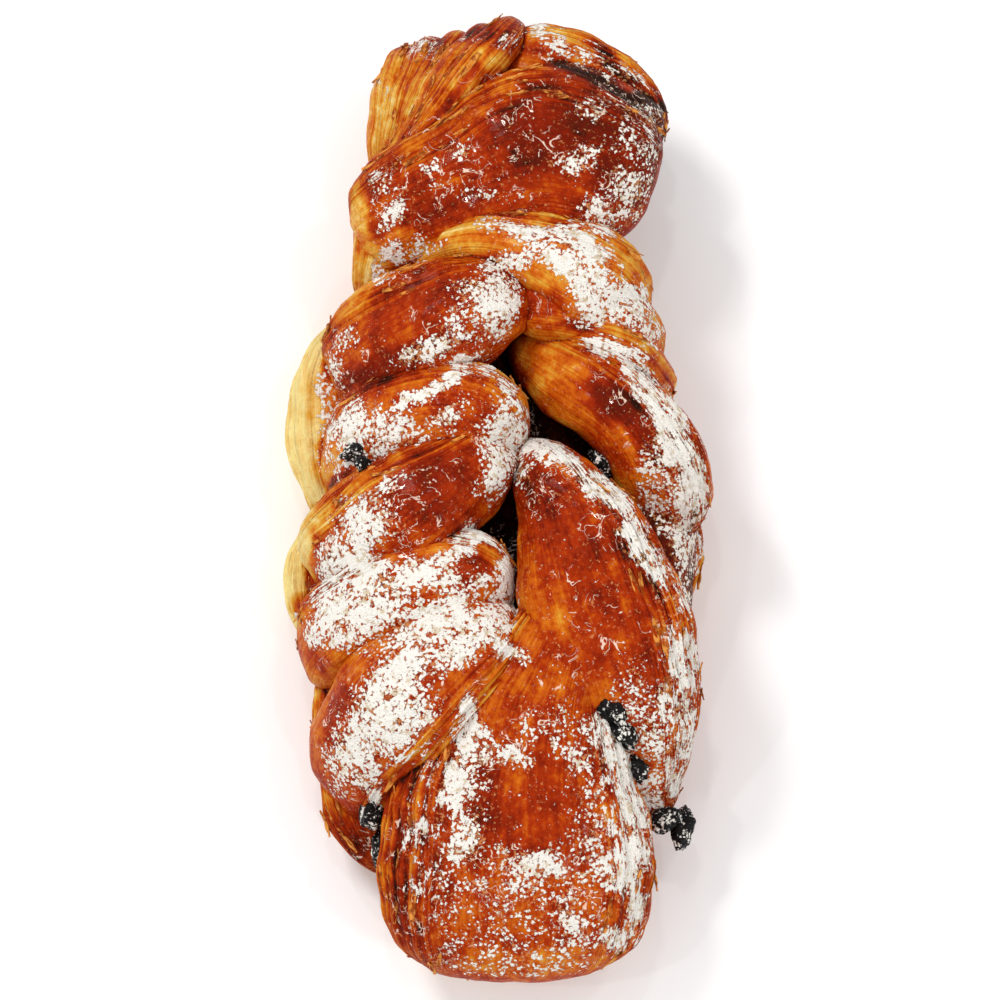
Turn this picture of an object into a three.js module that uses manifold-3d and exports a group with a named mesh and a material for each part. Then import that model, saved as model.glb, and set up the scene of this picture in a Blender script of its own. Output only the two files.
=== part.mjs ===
// A chocolate chip twist: laminated dough whose slit middle is turned into two ropes of folds, with
// the uncut ends left as broad folded caps, chocolate chips in the creases, and a flat tray side.
// Millimetres, +Z up. X runs across the pastry, Y along it, Z = 0 is the tray side, and the origin is
// under the middle of its outline.
import * as THREE from 'three';
import { mergeVertices } from 'three/addons/utils/BufferGeometryUtils.js';
import Module from 'manifold-3d';

const wasm = await Module();
wasm.setup();

// Driving sizes
const TRAY_SIZE = 300;
const SOFT_SWELL = 0.7;
const SOFT_DIMPLE = 0.3;
const STEPS_PER_LAYER = 3;
const PLY_SIDES = 10;
const CHIP_SIDES = 8;

// Each fold is a soft flattened sausage of dough. A station is x, y, z of the middle of its section,
// then the section's width and thickness. heading turns the section in plan, from the first station
// to the last, and roll tips it about the fold's own run. square is how boxy the section is, blunt
// how suddenly the ends close. layers are ranges of degrees round the section, 90 being the top,
// where the plies of the lamination show: from, to, how many, how deep.
const fold = (own) => ({
  square: 2.4, blunt: 3.2, roll: 0, around: 14, along: 13, layers: [], ...own });

const folds = {
  base: fold({ heading: [-90, -90], square: 2.6, blunt: 5, around: 16, along: 12, stations: [
    [0, 80, 5, 22, 12], [-1, 62, 5, 42, 14], [-3, 40, 5, 44, 16], [-1, 10, 5, 58, 17],
    [0, -20, 5, 58, 17], [1, -50, 5, 48, 16], [3, -78, 5, 32, 12]] }),
  core_left: fold({ heading: [-88, -92], square: 2.2, blunt: 3, around: 9, along: 8, stations: [
    [-13, 38, 14, 20, 20], [-17, 18, 16, 22, 24], [-19, -6, 16, 22, 24], [-18, -30, 14, 22, 22],
    [-14, -48, 10, 16, 16]] }),
  core_right: fold({ heading: [-80, -88], square: 2.2, blunt: 3, around: 9, along: 8, stations: [
    [14, 40, 14, 18, 20], [21, 20, 14, 16, 20], [26, 0, 13, 16, 20], [22, -25, 14, 22, 22],
    [20, -45, 12, 18, 18]] }),
  far_block: fold({ heading: [24, -19], square: 2.8, blunt: 6, roll: -14, around: 16, along: 16,
    stations: [
    [-24, 51, 12.5, 19.5, 17], [-16.5, 52, 18.5, 23.5, 20], [-4, 56.5, 22.5, 26, 23],
    [7, 60, 24.5, 33, 24], [16.6, 57.6, 23.5, 29.6, 24], [23.2, 56, 17, 24, 20]] }),
  far_flap: fold({ heading: [-4, -50], square: 2.6, blunt: 4, roll: 8, stations: [
    [-4, 78, 17, 12, 14], [6, 77, 21, 17, 16], [15, 74, 21, 17, 16], [22, 69.5, 19.5, 15, 15],
    [27, 64.5, 16, 13, 13]] }),
  far_side: fold({ heading: [-88, -112], blunt: 3.4, along: 10, stations: [
    [-19.4, 64, 9, 10, 12], [-19.3, 54, 14, 13, 12], [-19.8, 45, 15, 13, 13], [-22.4, 36, 11, 12, 12]] }),
  middle_arch: fold({ heading: [8, -30], stations: [
    [-20, 41, 13, 12, 12], [-11, 43.5, 20.3, 11, 13], [-2, 44, 25.8, 11.5, 14], [8, 41, 28.5, 15, 15],
    [15, 37.2, 27.5, 19, 16], [20, 32.6, 20, 16.5, 14], [20.6, 29, 8, 15, 12]] }),
  left_1: fold({ heading: [34, 24], roll: 10, layers: [[112, 165, 4, 0.9]], stations: [
    [-22.6, 20, 6, 18, 13], [-22.8, 25.3, 19, 21, 15], [-12, 29, 28, 21, 17], [-2, 32.5, 27.5, 17, 16],
    [3.6, 33.5, 20, 12, 12]] }),
  left_2: fold({ heading: [26, -48], roll: 6, stations: [
    [-24, 3, 6, 15, 13], [-24, 8, 18, 16, 15], [-15, 12.5, 26.5, 17, 16], [-4, 13.5, 28, 17, 16],
    [3.6, 8, 22, 12, 13]] }),
  left_3: fold({ heading: [32, 46], roll: 12, layers: [[100, 150, 4, 0.8]], stations: [
    [-26, -14, 6, 16, 13], [-26.5, -9.5, 17.5, 20, 15], [-15, -3, 28, 21, 17],
    [-5.5, 2.2, 28, 16.4, 16], [2.5, 7.4, 21, 10, 13]] }),
  left_4: fold({ heading: [30, -48], roll: 8, stations: [
    [-28, -29, 6, 15, 13], [-28, -24, 16.5, 18, 15], [-16.5, -18, 26.5, 18, 16],
    [-6, -14.8, 27, 17, 16], [0.6, -21, 20, 12, 13]] }),
  left_5: fold({ heading: [50, 42], roll: 8, layers: [[-10, 55, 5, 0.8]], stations: [
    [-23, -53, 6, 16, 13], [-24, -46, 15, 20, 15], [-15.5, -35.5, 26.5, 24, 17],
    [-5, -26, 27.5, 20, 16], [2, -19.5, 20, 11, 12]] }),
  left_skirt: fold({ heading: [-90, -50], blunt: 3, along: 12, stations: [
    [-25.4, -14, 7, 12, 14], [-25.3, -30, 8, 13, 17], [-25, -42, 8, 13.6, 16], [-23.6, -52, 8, 14, 13],
    [-19.2, -63.5, 7, 14, 12]] }),
  right_1: fold({ heading: [-2, -24], along: 10, stations: [
    [4.2, 34.5, 20, 14, 14], [9, 33.8, 25.5, 15, 15], [18, 31, 25, 14, 14], [23.6, 27.5, 14, 12.5, 12],
    [22, 25, 4, 11, 10]] }),
  right_2: fold({ heading: [-14, -30], along: 10, stations: [
    [12, 27.5, 22, 9, 12], [18, 25.3, 26.5, 11, 13], [24, 22, 20, 12, 12], [24.6, 20, 10, 11, 10],
    [22, 17, 2, 10, 9]] }),
  right_3: fold({ heading: [-30, -84], square: 2.5, roll: -26,
    layers: [[118, 178, 5, 0.9]], stations: [
    [1.8, 28.6, 16, 11, 12], [12, 21.7, 22.5, 15.6, 15], [23.4, 12.2, 25, 16.2, 15],
    [29, 3, 21, 16.6, 14], [29.2, -6, 12, 14, 12]] }),
  right_4: fold({ heading: [-46, -84], square: 2.8, roll: -10, around: 14, along: 16,
    layers: [[112, 178, 6, 1]], stations: [
    [4, 9.8, 22.3, 10, 13], [10.7, -1.2, 27.2, 18.6, 17], [15.6, -15, 27.5, 25.8, 18],
    [19.8, -29, 25, 27.5, 18], [23.5, -42, 18, 22, 16], [25.6, -55.5, 9, 17, 12]] }),
  right_flank: fold({ heading: [-92, -88], along: 10, stations: [
    [29.5, 3, 9, 13, 10], [28.5, -9, 9, 13, 10], [25.5, -19, 9, 13, 10]] }),
  end_near: fold({ heading: [-88, -90], square: 2.4, blunt: 6, around: 16, along: 16,
    layers: [[2, 58, 6, 1.1], [128, 180, 5, 0.9]], stations: [
    [14, -12.5, 21.5, 11, 15], [10.6, -25, 24.6, 19, 19], [5.8, -36, 23.3, 31, 21],
    [3.2, -48, 20.7, 40, 22], [2.9, -61, 17.5, 46.4, 24], [2.5, -73, 13, 45.4, 22],
    [2.4, -80, 6.2, 41.4, 16]] }),
  side_1: fold({ heading: [-114, -66], square: 2.8, blunt: 3, stations: [
    [-25, 37, 7, 10, 12], [-29.6, 25.5, 8, 13, 14], [-29.8, 13, 8, 14, 14], [-27.5, 1, 7, 12, 13],
    [-24, -9, 6, 8, 10]] }),
  side_2: fold({ heading: [-120, -64], square: 2.6, blunt: 3, along: 11, stations: [
    [-25, 4, 6, 8, 10], [-30.1, -6.5, 7.5, 12, 12], [-30.9, -16, 7.5, 12, 12], [-27, -28, 6.5, 9, 11]] }),
  near_lip: fold({ heading: [-62, 62], square: 2.6, blunt: 4, around: 10, along: 11, stations: [
    [-16, -60, 4, 8, 8], [-12.4, -71.5, 4, 9, 8], [2.5, -76.4, 4, 9.5, 8], [17, -72.5, 4, 9, 8],
    [21, -60, 4, 8, 8]] }),
};

// Plies are rows of thin folds that fan out from the first to the last.
const plies = {
  fan: { count: 5,
    first: fold({ heading: [92, 70], square: 2.8, blunt: 4, stations: [
      [-17.2, 55, 8, 11, 12], [-17.4, 66, 13, 12.5, 14], [-16.3, 76, 14, 12.5, 14],
      [-15, 84.8, 12, 11, 12]] }),
    last: fold({ heading: [48, 36], square: 2.8, blunt: 4, stations: [
      [-19.5, 56, 16, 8, 13], [-11, 65, 23.2, 8.5, 15], [-3.5, 75.3, 25.5, 9, 15],
      [3, 86.2, 21.5, 9, 14]] }) },
};

// Chocolate chips in the creases: x, y, z, then their half sizes and their turn in plan.
const chips = [
  [31.3, -56.3, 12, 2.2, 3.2, 2.6, -10],
  [28.4, -55.2, 14.6, 2.6, 2, 2.4, 20],
  [18.4, -37.8, 29.2, 2.1, 3.4, 2.2, 30],
  [20.6, -41.6, 27.3, 1.9, 3, 2.2, 28],
  [23.5, -47.6, 23.9, 1.4, 2.4, 1.9, 28],
  [-21.9, -54.6, 18.8, 2.2, 3, 2.4, -14],
  [-19.6, -60.8, 13.4, 2, 4.2, 2.8, 12],
  [-24.6, 6.8, 27.6, 2.5, 1.6, 1.8, 24],
  [-23.4, 3.8, 31.4, 1.5, 1.4, 1.5, 0],
  [17.3, 5.9, 24.4, 2.2, 1.5, 1.6, -40],
];

const radians = THREE.MathUtils.degToRad;
const signPower = (v, n) => Math.sign(v) * Math.abs(v) ** (2 / n);

// The unevenness of baked dough: a slow wave through space, different for each fold.
const wave = (p, rate, seed) => Math.sin(rate * p.x + seed) * Math.sin(1.13 * rate * p.y + 1.7 * seed)
  * Math.cos(0.9 * rate * p.z + 2.3 * seed);

// The angles round a section: even steps, with finer ones where the plies show.
function sectionAngles(f) {
  const step = 360 / f.around;
  let angles = Array.from({ length: f.around }, (_, i) => -90 + step * i);
  for (const [from, to, count] of f.layers) {
    angles = angles.filter((b) => b < from - 0.6 * step || b > to + 0.6 * step);
    const fine = STEPS_PER_LAYER * count;
    for (let i = 0; i <= fine; i++) angles.push(THREE.MathUtils.lerp(from, to, i / fine));
  }
  angles.sort((m, n) => m - n);
  return [...angles, angles[0] + 360];
}

// How far the plies stand out at an angle of the section, fading towards the fold's ends.
function layerHeight(f, angle, t) {
  let height = 0;
  for (const [from, to, count, deep] of f.layers) {
    const u = (angle - from) / (to - from);
    if (u <= 0 || u >= 1) continue;
    height += deep * Math.abs(Math.sin(Math.PI * count * u)) ** 0.6 * Math.sin(Math.PI * u) ** 0.4;
  }
  return height * Math.sin(Math.PI * t) ** 0.7;
}

// A fold's skin: a sphere whose poles become the two ends and whose rings become the sections.
function foldGeometry(f) {
  const path = new THREE.CatmullRomCurve3(f.stations.map(([x, y, z]) => new THREE.Vector3(x, y, z)));
  const size = new THREE.CatmullRomCurve3(f.stations.map((s) => new THREE.Vector3(s[3], s[4], 0)));
  const angles = sectionAngles(f);
  const g = new THREE.SphereGeometry(1, angles.length - 1, f.along);
  const position = g.attributes.position;
  const point = new THREE.Vector3();
  for (let i = 0; i < position.count; i++) {
    const t = 1 - g.attributes.uv.getY(i);
    const angle = angles[i % angles.length];
    const b = radians(angle);
    const tangent = path.getTangent(t);
    const section = size.getPoint(t);
    const heading = radians(THREE.MathUtils.lerp(f.heading[0], f.heading[1], t));
    const side = new THREE.Vector3(Math.sin(heading), -Math.cos(heading), 0);
    side.addScaledVector(tangent, -side.dot(tangent)).normalize();
    side.applyAxisAngle(tangent, -radians(f.roll));
    const out = side.clone().cross(tangent);
    const end = Math.max(0, 1 - Math.abs(2 * t - 1) ** f.blunt) ** 0.5;
    point.copy(path.getPoint(t));
    point.addScaledVector(side, signPower(Math.cos(b), f.square) * section.x / 2 * end);
    point.addScaledVector(out, signPower(Math.sin(b), f.square) * section.y / 2 * end);
    const [seedA, seedB] = f.stations[0];
    const soft = SOFT_SWELL * wave(point, 0.22, seedA) + SOFT_DIMPLE * wave(point, 0.55, seedB);
    const swell = end * (soft + layerHeight(f, angle, t));
    point.addScaledVector(side, swell * Math.cos(b));
    point.addScaledVector(out, swell * Math.sin(b));
    position.setXYZ(i, point.x, point.y, point.z);
  }
  return g;
}

// A fold part of the way from one to another.
function between(first, last, u) {
  const mix = (m, n) => THREE.MathUtils.lerp(m, n, u);
  return fold({
    heading: first.heading.map((h, i) => mix(h, last.heading[i])),
    blunt: first.blunt,
    around: PLY_SIDES,
    stations: first.stations.map((row, i) => row.map((v, j) => mix(v, last.stations[i][j]))) });
}

function chipGeometry([x, y, z, halfX, halfY, halfZ, turn]) {
  const g = new THREE.SphereGeometry(1, CHIP_SIDES, CHIP_SIDES / 2);
  g.scale(halfX, halfY, halfZ);
  g.rotateZ(radians(turn));
  return g.translate(x, y, z);
}

function solid(geometry) {
  geometry.deleteAttribute('normal');
  geometry.deleteAttribute('uv');
  const merged = mergeVertices(geometry, 1e-4);
  return new wasm.Manifold(new wasm.Mesh({
    numProp: 3,
    vertProperties: merged.attributes.position.array,
    triVerts: new Uint32Array(merged.index.array) }));
}

// The dough and its chips are joined, cut flat by the tray, and closed where folds trap air.
const pieces = Object.values(folds);
for (const { count, first, last } of Object.values(plies)) {
  for (let i = 0; i < count; i++) pieces.push(between(first, last, i / (count - 1)));
}
const skins = [...pieces.map(foldGeometry), ...chips.map(chipGeometry)];
let whole = skins.map(solid).reduce((joined, next) => joined.add(next));
const tray = new THREE.BoxGeometry(TRAY_SIZE, TRAY_SIZE, TRAY_SIZE).translate(0, 0, -TRAY_SIZE / 2);
whole = whole.subtract(solid(tray));
const [outer] = whole.decompose().sort((m, n) => n.volume() - m.volume());

const skin = outer.getMesh();
const geometry = new THREE.BufferGeometry();
geometry.setAttribute('position', new THREE.BufferAttribute(new Float32Array(skin.vertProperties), 3));
geometry.setIndex(new THREE.BufferAttribute(new Uint32Array(skin.triVerts), 1));
geometry.computeBoundingBox();
const middle = geometry.boundingBox.getCenter(new THREE.Vector3());
geometry.translate(-middle.x, -middle.y, 0);
geometry.computeVertexNormals();

const crust = new THREE.MeshStandardMaterial({ color: 0xa8481a, roughness: 0.4, metalness: 0 });
const dough = new THREE.Mesh(geometry, crust);
dough.name = 'dough';

const pastry = new THREE.Group();
pastry.add(dough);

export default pastry;
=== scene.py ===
"""A chocolate chip twist on a pale floor.

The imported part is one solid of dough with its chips. Here the dough is made again from the same
folds as a fine surface, with every ply of the lamination in its flanks, joined into one skin and cut
flat by the tray. Chocolate chips, icing sugar and loose flakes of crust lie on it as pieces of their
own. Tables are in millimetres, in the part's own frame; everything in the scene is in metres.
"""

import math

import bmesh
import bpy
import numpy as np
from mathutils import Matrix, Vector


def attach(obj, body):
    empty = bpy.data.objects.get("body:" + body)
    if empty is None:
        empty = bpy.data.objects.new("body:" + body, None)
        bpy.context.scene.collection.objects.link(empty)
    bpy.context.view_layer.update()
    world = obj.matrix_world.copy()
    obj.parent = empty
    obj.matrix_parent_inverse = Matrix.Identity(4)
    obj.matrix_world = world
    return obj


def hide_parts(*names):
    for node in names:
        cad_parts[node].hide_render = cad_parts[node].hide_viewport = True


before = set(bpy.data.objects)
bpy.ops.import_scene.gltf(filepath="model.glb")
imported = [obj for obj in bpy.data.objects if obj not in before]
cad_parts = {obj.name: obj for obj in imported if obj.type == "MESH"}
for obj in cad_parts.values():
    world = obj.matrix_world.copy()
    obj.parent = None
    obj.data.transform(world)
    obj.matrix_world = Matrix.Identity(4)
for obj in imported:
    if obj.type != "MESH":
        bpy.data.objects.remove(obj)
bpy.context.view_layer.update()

bl_info = {
    "name": "Chocolate Chip Twist",
    "version": (1, 0, 0),
    "blender": (4, 5, 0),
    "location": "View3D > Sidebar > Twist",
    "description": "Builds a laminated chocolate chip twist, its icing sugar and a plain stage",
    "category": "Add Mesh",
}

MM = 0.001
BODY = "root"
NODE = "dough"

# The folds' tables are measured from a point that lies here in the part's frame, in millimetres
FOLD_ORIGIN = np.array([0.5956, -1.8027, 0.0])

# The camera looks down on the twist from over its near end
CAMERA_ELEVATION = 78.0
CAMERA_DISTANCE = 600.0
CAMERA_TARGET = np.array([0.0, 0.0, 20.0]) + FOLD_ORIGIN
CAMERA_CLIP = (0.01, 20.0)
VIEW_WIDTH = 173.5
SENSOR = 36.0

# Lights: name, the setting of its power, place and size. The glints are small, for the egg wash.
LIGHTS = (
    ("key", "key", (-0.34, 0.34, 0.6), 0.2), ("fill", "fill", (0.45, -0.35, 0.5), 0.1),
    ("glint_0", "glint", (-0.05, 0.26, 0.72), 0.03), ("glint_1", "glint", (0.22, -0.40, 0.6), 0.03),
    ("glint_2", "glint", (-0.36, -0.10, 0.6), 0.03), ("glint_3", "glint", (0.30, 0.22, 0.64), 0.03),
    ("glint_4", "glint", (-0.16, -0.52, 0.5), 0.03))
FLOOR_CELLS = 24


def fold(heading, stations, square=2.4, blunt=3.2, roll=0.0, layers=(), bake=0.6):
    """One fold of dough, a soft flattened sausage.

    A station is x, y, z of the middle of a section, then its width and thickness. heading turns the
    section in plan from the first station to the last and roll tips it about the fold's run. square
    is how boxy the section is, blunt how suddenly the ends close. layers are ranges of degrees round
    the section where the plies show: from, to, how many, how deep. bake is how dark it baked, 0 to 1.
    """
    return {
        "heading": heading, "stations": np.array(stations, float), "square": square, "blunt": blunt,
        "roll": roll, "layers": layers, "bake": bake}


FOLDS = {
    "base": fold((-90, -90), bake=0.4, square=2.6, blunt=5, stations=[
        (0, 80, 5, 22, 12), (-1, 62, 5, 42, 14), (-3, 40, 5, 44, 16), (-1, 10, 5, 58, 17),
        (0, -20, 5, 58, 17), (1, -50, 5, 48, 16), (3, -78, 5, 32, 12)]),
    "core_left": fold((-88, -92), bake=0.92, square=2.2, blunt=3, stations=[
        (-13, 38, 14, 20, 20), (-17, 18, 16, 22, 24), (-19, -6, 16, 22, 24), (-18, -30, 14, 22, 22),
        (-14, -48, 10, 16, 16)]),
    "core_right": fold((-80, -88), bake=0.92, square=2.2, blunt=3, stations=[
        (14, 40, 14, 18, 20), (21, 20, 14, 16, 20), (26, 0, 13, 16, 20), (22, -25, 14, 22, 22),
        (20, -45, 12, 18, 18)]),
    "far_block": fold((24, -19), bake=0.66, square=2.8, blunt=6, roll=-14, layers=[(118, 170, 4, 0.5)],
        stations=[
        (-24, 51, 12.5, 19.5, 17), (-16.5, 52, 18.5, 23.5, 20), (-4, 56.5, 22.5, 26, 23),
        (7, 60, 24.5, 33, 24), (16.6, 57.6, 23.5, 29.6, 24), (23.2, 56, 17, 24, 20)]),
    "far_flap": fold((-4, -50), bake=0.42, square=2.6, blunt=4, roll=8, layers=[(100, 170, 4, 0.7)],
        stations=[
        (-4, 78, 17, 12, 14), (6, 77, 21, 17, 16), (15, 74, 21, 17, 16), (22, 69.5, 19.5, 15, 15),
        (27, 64.5, 16, 13, 13)]),
    "far_side": fold((-88, -112), bake=0.24, blunt=3.4, layers=[(10, 80, 4, 0.5)], stations=[
        (-19.4, 64, 9, 10, 12), (-19.3, 54, 14, 13, 12), (-19.8, 45, 15, 13, 13), (-22.4, 36, 11, 12, 12)]),
    "middle_arch": fold((8, -30), bake=0.38, layers=[(95, 165, 5, 0.6)], stations=[
        (-20, 41, 13, 12, 12), (-11, 43.5, 20.3, 11, 13), (-2, 44, 25.8, 11.5, 14), (8, 41, 28.5, 15, 15),
        (15, 37.2, 27.5, 19, 16), (20, 32.6, 20, 16.5, 14), (20.6, 29, 8, 15, 12)]),
    "left_1": fold((34, 24), bake=0.62, roll=10, layers=[(112, 165, 4, 0.9)], stations=[
        (-22.6, 20, 6, 18, 13), (-22.8, 25.3, 19, 21, 15), (-12, 29, 28, 21, 17), (-2, 32.5, 27.5, 17, 16),
        (3.6, 33.5, 20, 12, 12)]),
    "left_2": fold((26, -48), bake=0.5, roll=6, layers=[(108, 165, 4, 0.6)], stations=[
        (-24, 3, 6, 15, 13), (-24, 8, 18, 16, 15), (-15, 12.5, 26.5, 17, 16), (-4, 13.5, 28, 17, 16),
        (3.6, 8, 22, 12, 13)]),
    "left_3": fold((32, 46), bake=0.56, roll=12, layers=[(100, 150, 4, 0.8)], stations=[
        (-26, -14, 6, 16, 13), (-26.5, -9.5, 17.5, 20, 15), (-15, -3, 28, 21, 17),
        (-5.5, 2.2, 28, 16.4, 16), (2.5, 7.4, 21, 10, 13)]),
    "left_4": fold((30, -48), bake=0.52, roll=8, layers=[(104, 160, 5, 0.6)], stations=[
        (-28, -29, 6, 15, 13), (-28, -24, 16.5, 18, 15), (-16.5, -18, 26.5, 18, 16),
        (-6, -14.8, 27, 17, 16), (0.6, -21, 20, 12, 13)]),
    "left_5": fold((50, 42), bake=0.5, roll=8, layers=[(-10, 55, 5, 0.8)], stations=[
        (-23, -53, 6, 16, 13), (-24, -46, 15, 20, 15), (-15.5, -35.5, 26.5, 24, 17),
        (-5, -26, 27.5, 20, 16), (2, -19.5, 20, 11, 12)]),
    "left_skirt": fold((-90, -50), bake=0.42, blunt=3, layers=[(0, 75, 6, 0.7)], stations=[
        (-25.4, -14, 7, 12, 14), (-25.3, -30, 8, 13, 17), (-25, -42, 8, 13.6, 16), (-23.6, -52, 8, 14, 13),
        (-19.2, -63.5, 7, 14, 12)]),
    "right_1": fold((-2, -24), bake=0.46, layers=[(96, 160, 4, 0.5)], stations=[
        (4.2, 34.5, 20, 14, 14), (9, 33.8, 25.5, 15, 15), (18, 31, 25, 14, 14), (23.6, 27.5, 14, 12.5, 12),
        (22, 25, 4, 11, 10)]),
    "right_2": fold((-14, -30), bake=0.48, layers=[(20, 120, 6, 0.6)], stations=[
        (12, 27.5, 22, 9, 12), (18, 25.3, 26.5, 11, 13), (24, 22, 20, 12, 12), (24.6, 20, 10, 11, 10),
        (22, 17, 2, 10, 9)]),
    "right_3": fold((-30, -84), bake=0.44, square=2.5, roll=-26, layers=[(118, 178, 5, 0.9)], stations=[
        (1.8, 28.6, 16, 11, 12), (12, 21.7, 22.5, 15.6, 15), (23.4, 12.2, 25, 16.2, 15),
        (29, 3, 21, 16.6, 14), (29.2, -6, 12, 14, 12)]),
    "right_4": fold((-46, -84), bake=0.54, square=2.8, roll=-10, layers=[(112, 178, 6, 1)], stations=[
        (4, 9.8, 22.3, 10, 13), (10.7, -1.2, 27.2, 18.6, 17), (15.6, -15, 27.5, 25.8, 18),
        (19.8, -29, 25, 27.5, 18), (23.5, -42, 18, 22, 16), (25.6, -55.5, 9, 17, 12)]),
    "right_flank": fold((-92, -88), bake=0.46, layers=[(100, 180, 5, 0.8)], stations=[
        (29.5, 3, 9, 13, 10), (28.5, -9, 9, 13, 10), (25.5, -19, 9, 13, 10)]),
    "end_near": fold((-88, -90), bake=0.56, blunt=6, layers=[(2, 58, 6, 1.1), (128, 180, 5, 0.9)],
        stations=[
        (14, -12.5, 21.5, 11, 15), (10.6, -25, 24.6, 19, 19), (5.8, -36, 23.3, 31, 21),
        (3.2, -48, 20.7, 40, 22), (2.9, -61, 17.5, 46.4, 24), (2.5, -73, 13, 45.4, 22),
        (2.4, -80, 6.2, 41.4, 16)]),
    "side_1": fold((-114, -66), bake=0.02, square=2.8, blunt=3, layers=[(-20, 70, 5, 0.7)], stations=[
        (-25, 37, 7, 10, 12), (-29.6, 25.5, 8, 13, 14), (-29.8, 13, 8, 14, 14), (-27.5, 1, 7, 12, 13),
        (-24, -9, 6, 8, 10)]),
    "side_2": fold((-120, -64), bake=0, square=2.6, blunt=3, layers=[(-15, 70, 5, 0.7)], stations=[
        (-25, 4, 6, 8, 10), (-30.1, -6.5, 7.5, 12, 12), (-30.9, -16, 7.5, 12, 12), (-27, -28, 6.5, 9, 11)]),
    "near_lip": fold((-62, 62), bake=0.42, square=2.6, blunt=4, layers=[(-10, 80, 4, 0.6)], stations=[
        (-16, -60, 4, 8, 8), (-12.4, -71.5, 4, 9, 8), (2.5, -76.4, 4, 9.5, 8), (17, -72.5, 4, 9, 8),
        (21, -60, 4, 8, 8)]),
    # A crisp ridge that the solid leaves rounded
    "burnt_ridge": fold((-14, -34), bake=0.9, square=1.3, blunt=5, stations=[
        (6.6, 76.2, 26.5, 4, 5), (10.2, 74.2, 28.6, 6, 6.4), (14.6, 72, 30.8, 7.5, 6.4),
        (19, 70.4, 29.8, 8, 6.6), (23.2, 68.9, 27.8, 7.5, 6.6), (26.6, 67.9, 25, 6, 6),
        (28.4, 67.4, 22.8, 4, 5)]),
}

# The fan of ribs at the far end, from its first to its last, with how dark the first baked and how
# much darker the last
FAN_COUNT = 5
FAN_BAKE = (0.42, 0.12)
FAN_FIRST = fold((92, 70), square=2.8, blunt=4, layers=[(30, 160, 4, 0.45)], stations=[
    (-17.2, 55, 8, 11, 12), (-17.4, 66, 13, 12.5, 14), (-16.3, 76, 14, 12.5, 14), (-15, 84.8, 12, 11, 12)])
FAN_LAST = fold((48, 36), square=2.8, blunt=4, layers=[(30, 160, 4, 0.45)], stations=[
    (-19.5, 56, 16, 8, 13), (-11, 65, 23.2, 8.5, 15), (-3.5, 75.3, 25.5, 9, 15), (3, 86.2, 21.5, 9, 14)])

# Chips: x, y, z of the middle, half its width, length and height, and its turn
CHIPS = (
    (31.3, -56.3, 12, 2.2, 3.2, 2.6, -10), (28.4, -55.2, 14.6, 2.6, 2, 2.4, 20),
    (18.4, -37.8, 29.2, 2.1, 3.4, 2.2, 30), (20.6, -41.6, 27.3, 1.9, 3, 2.2, 28),
    (23.5, -47.6, 23.9, 1.4, 2.4, 1.9, 28), (-21.9, -54.6, 18.8, 2.2, 3, 2.4, -14),
    (-19.6, -60.8, 13.4, 2, 4.2, 2.8, 12), (-24.6, 6.8, 27.6, 2.5, 1.6, 1.8, 24),
    (-23.4, 3.8, 31.4, 1.5, 1.4, 1.5, 0), (17.3, 5.9, 24.4, 2.2, 1.5, 1.6, -40))

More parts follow.
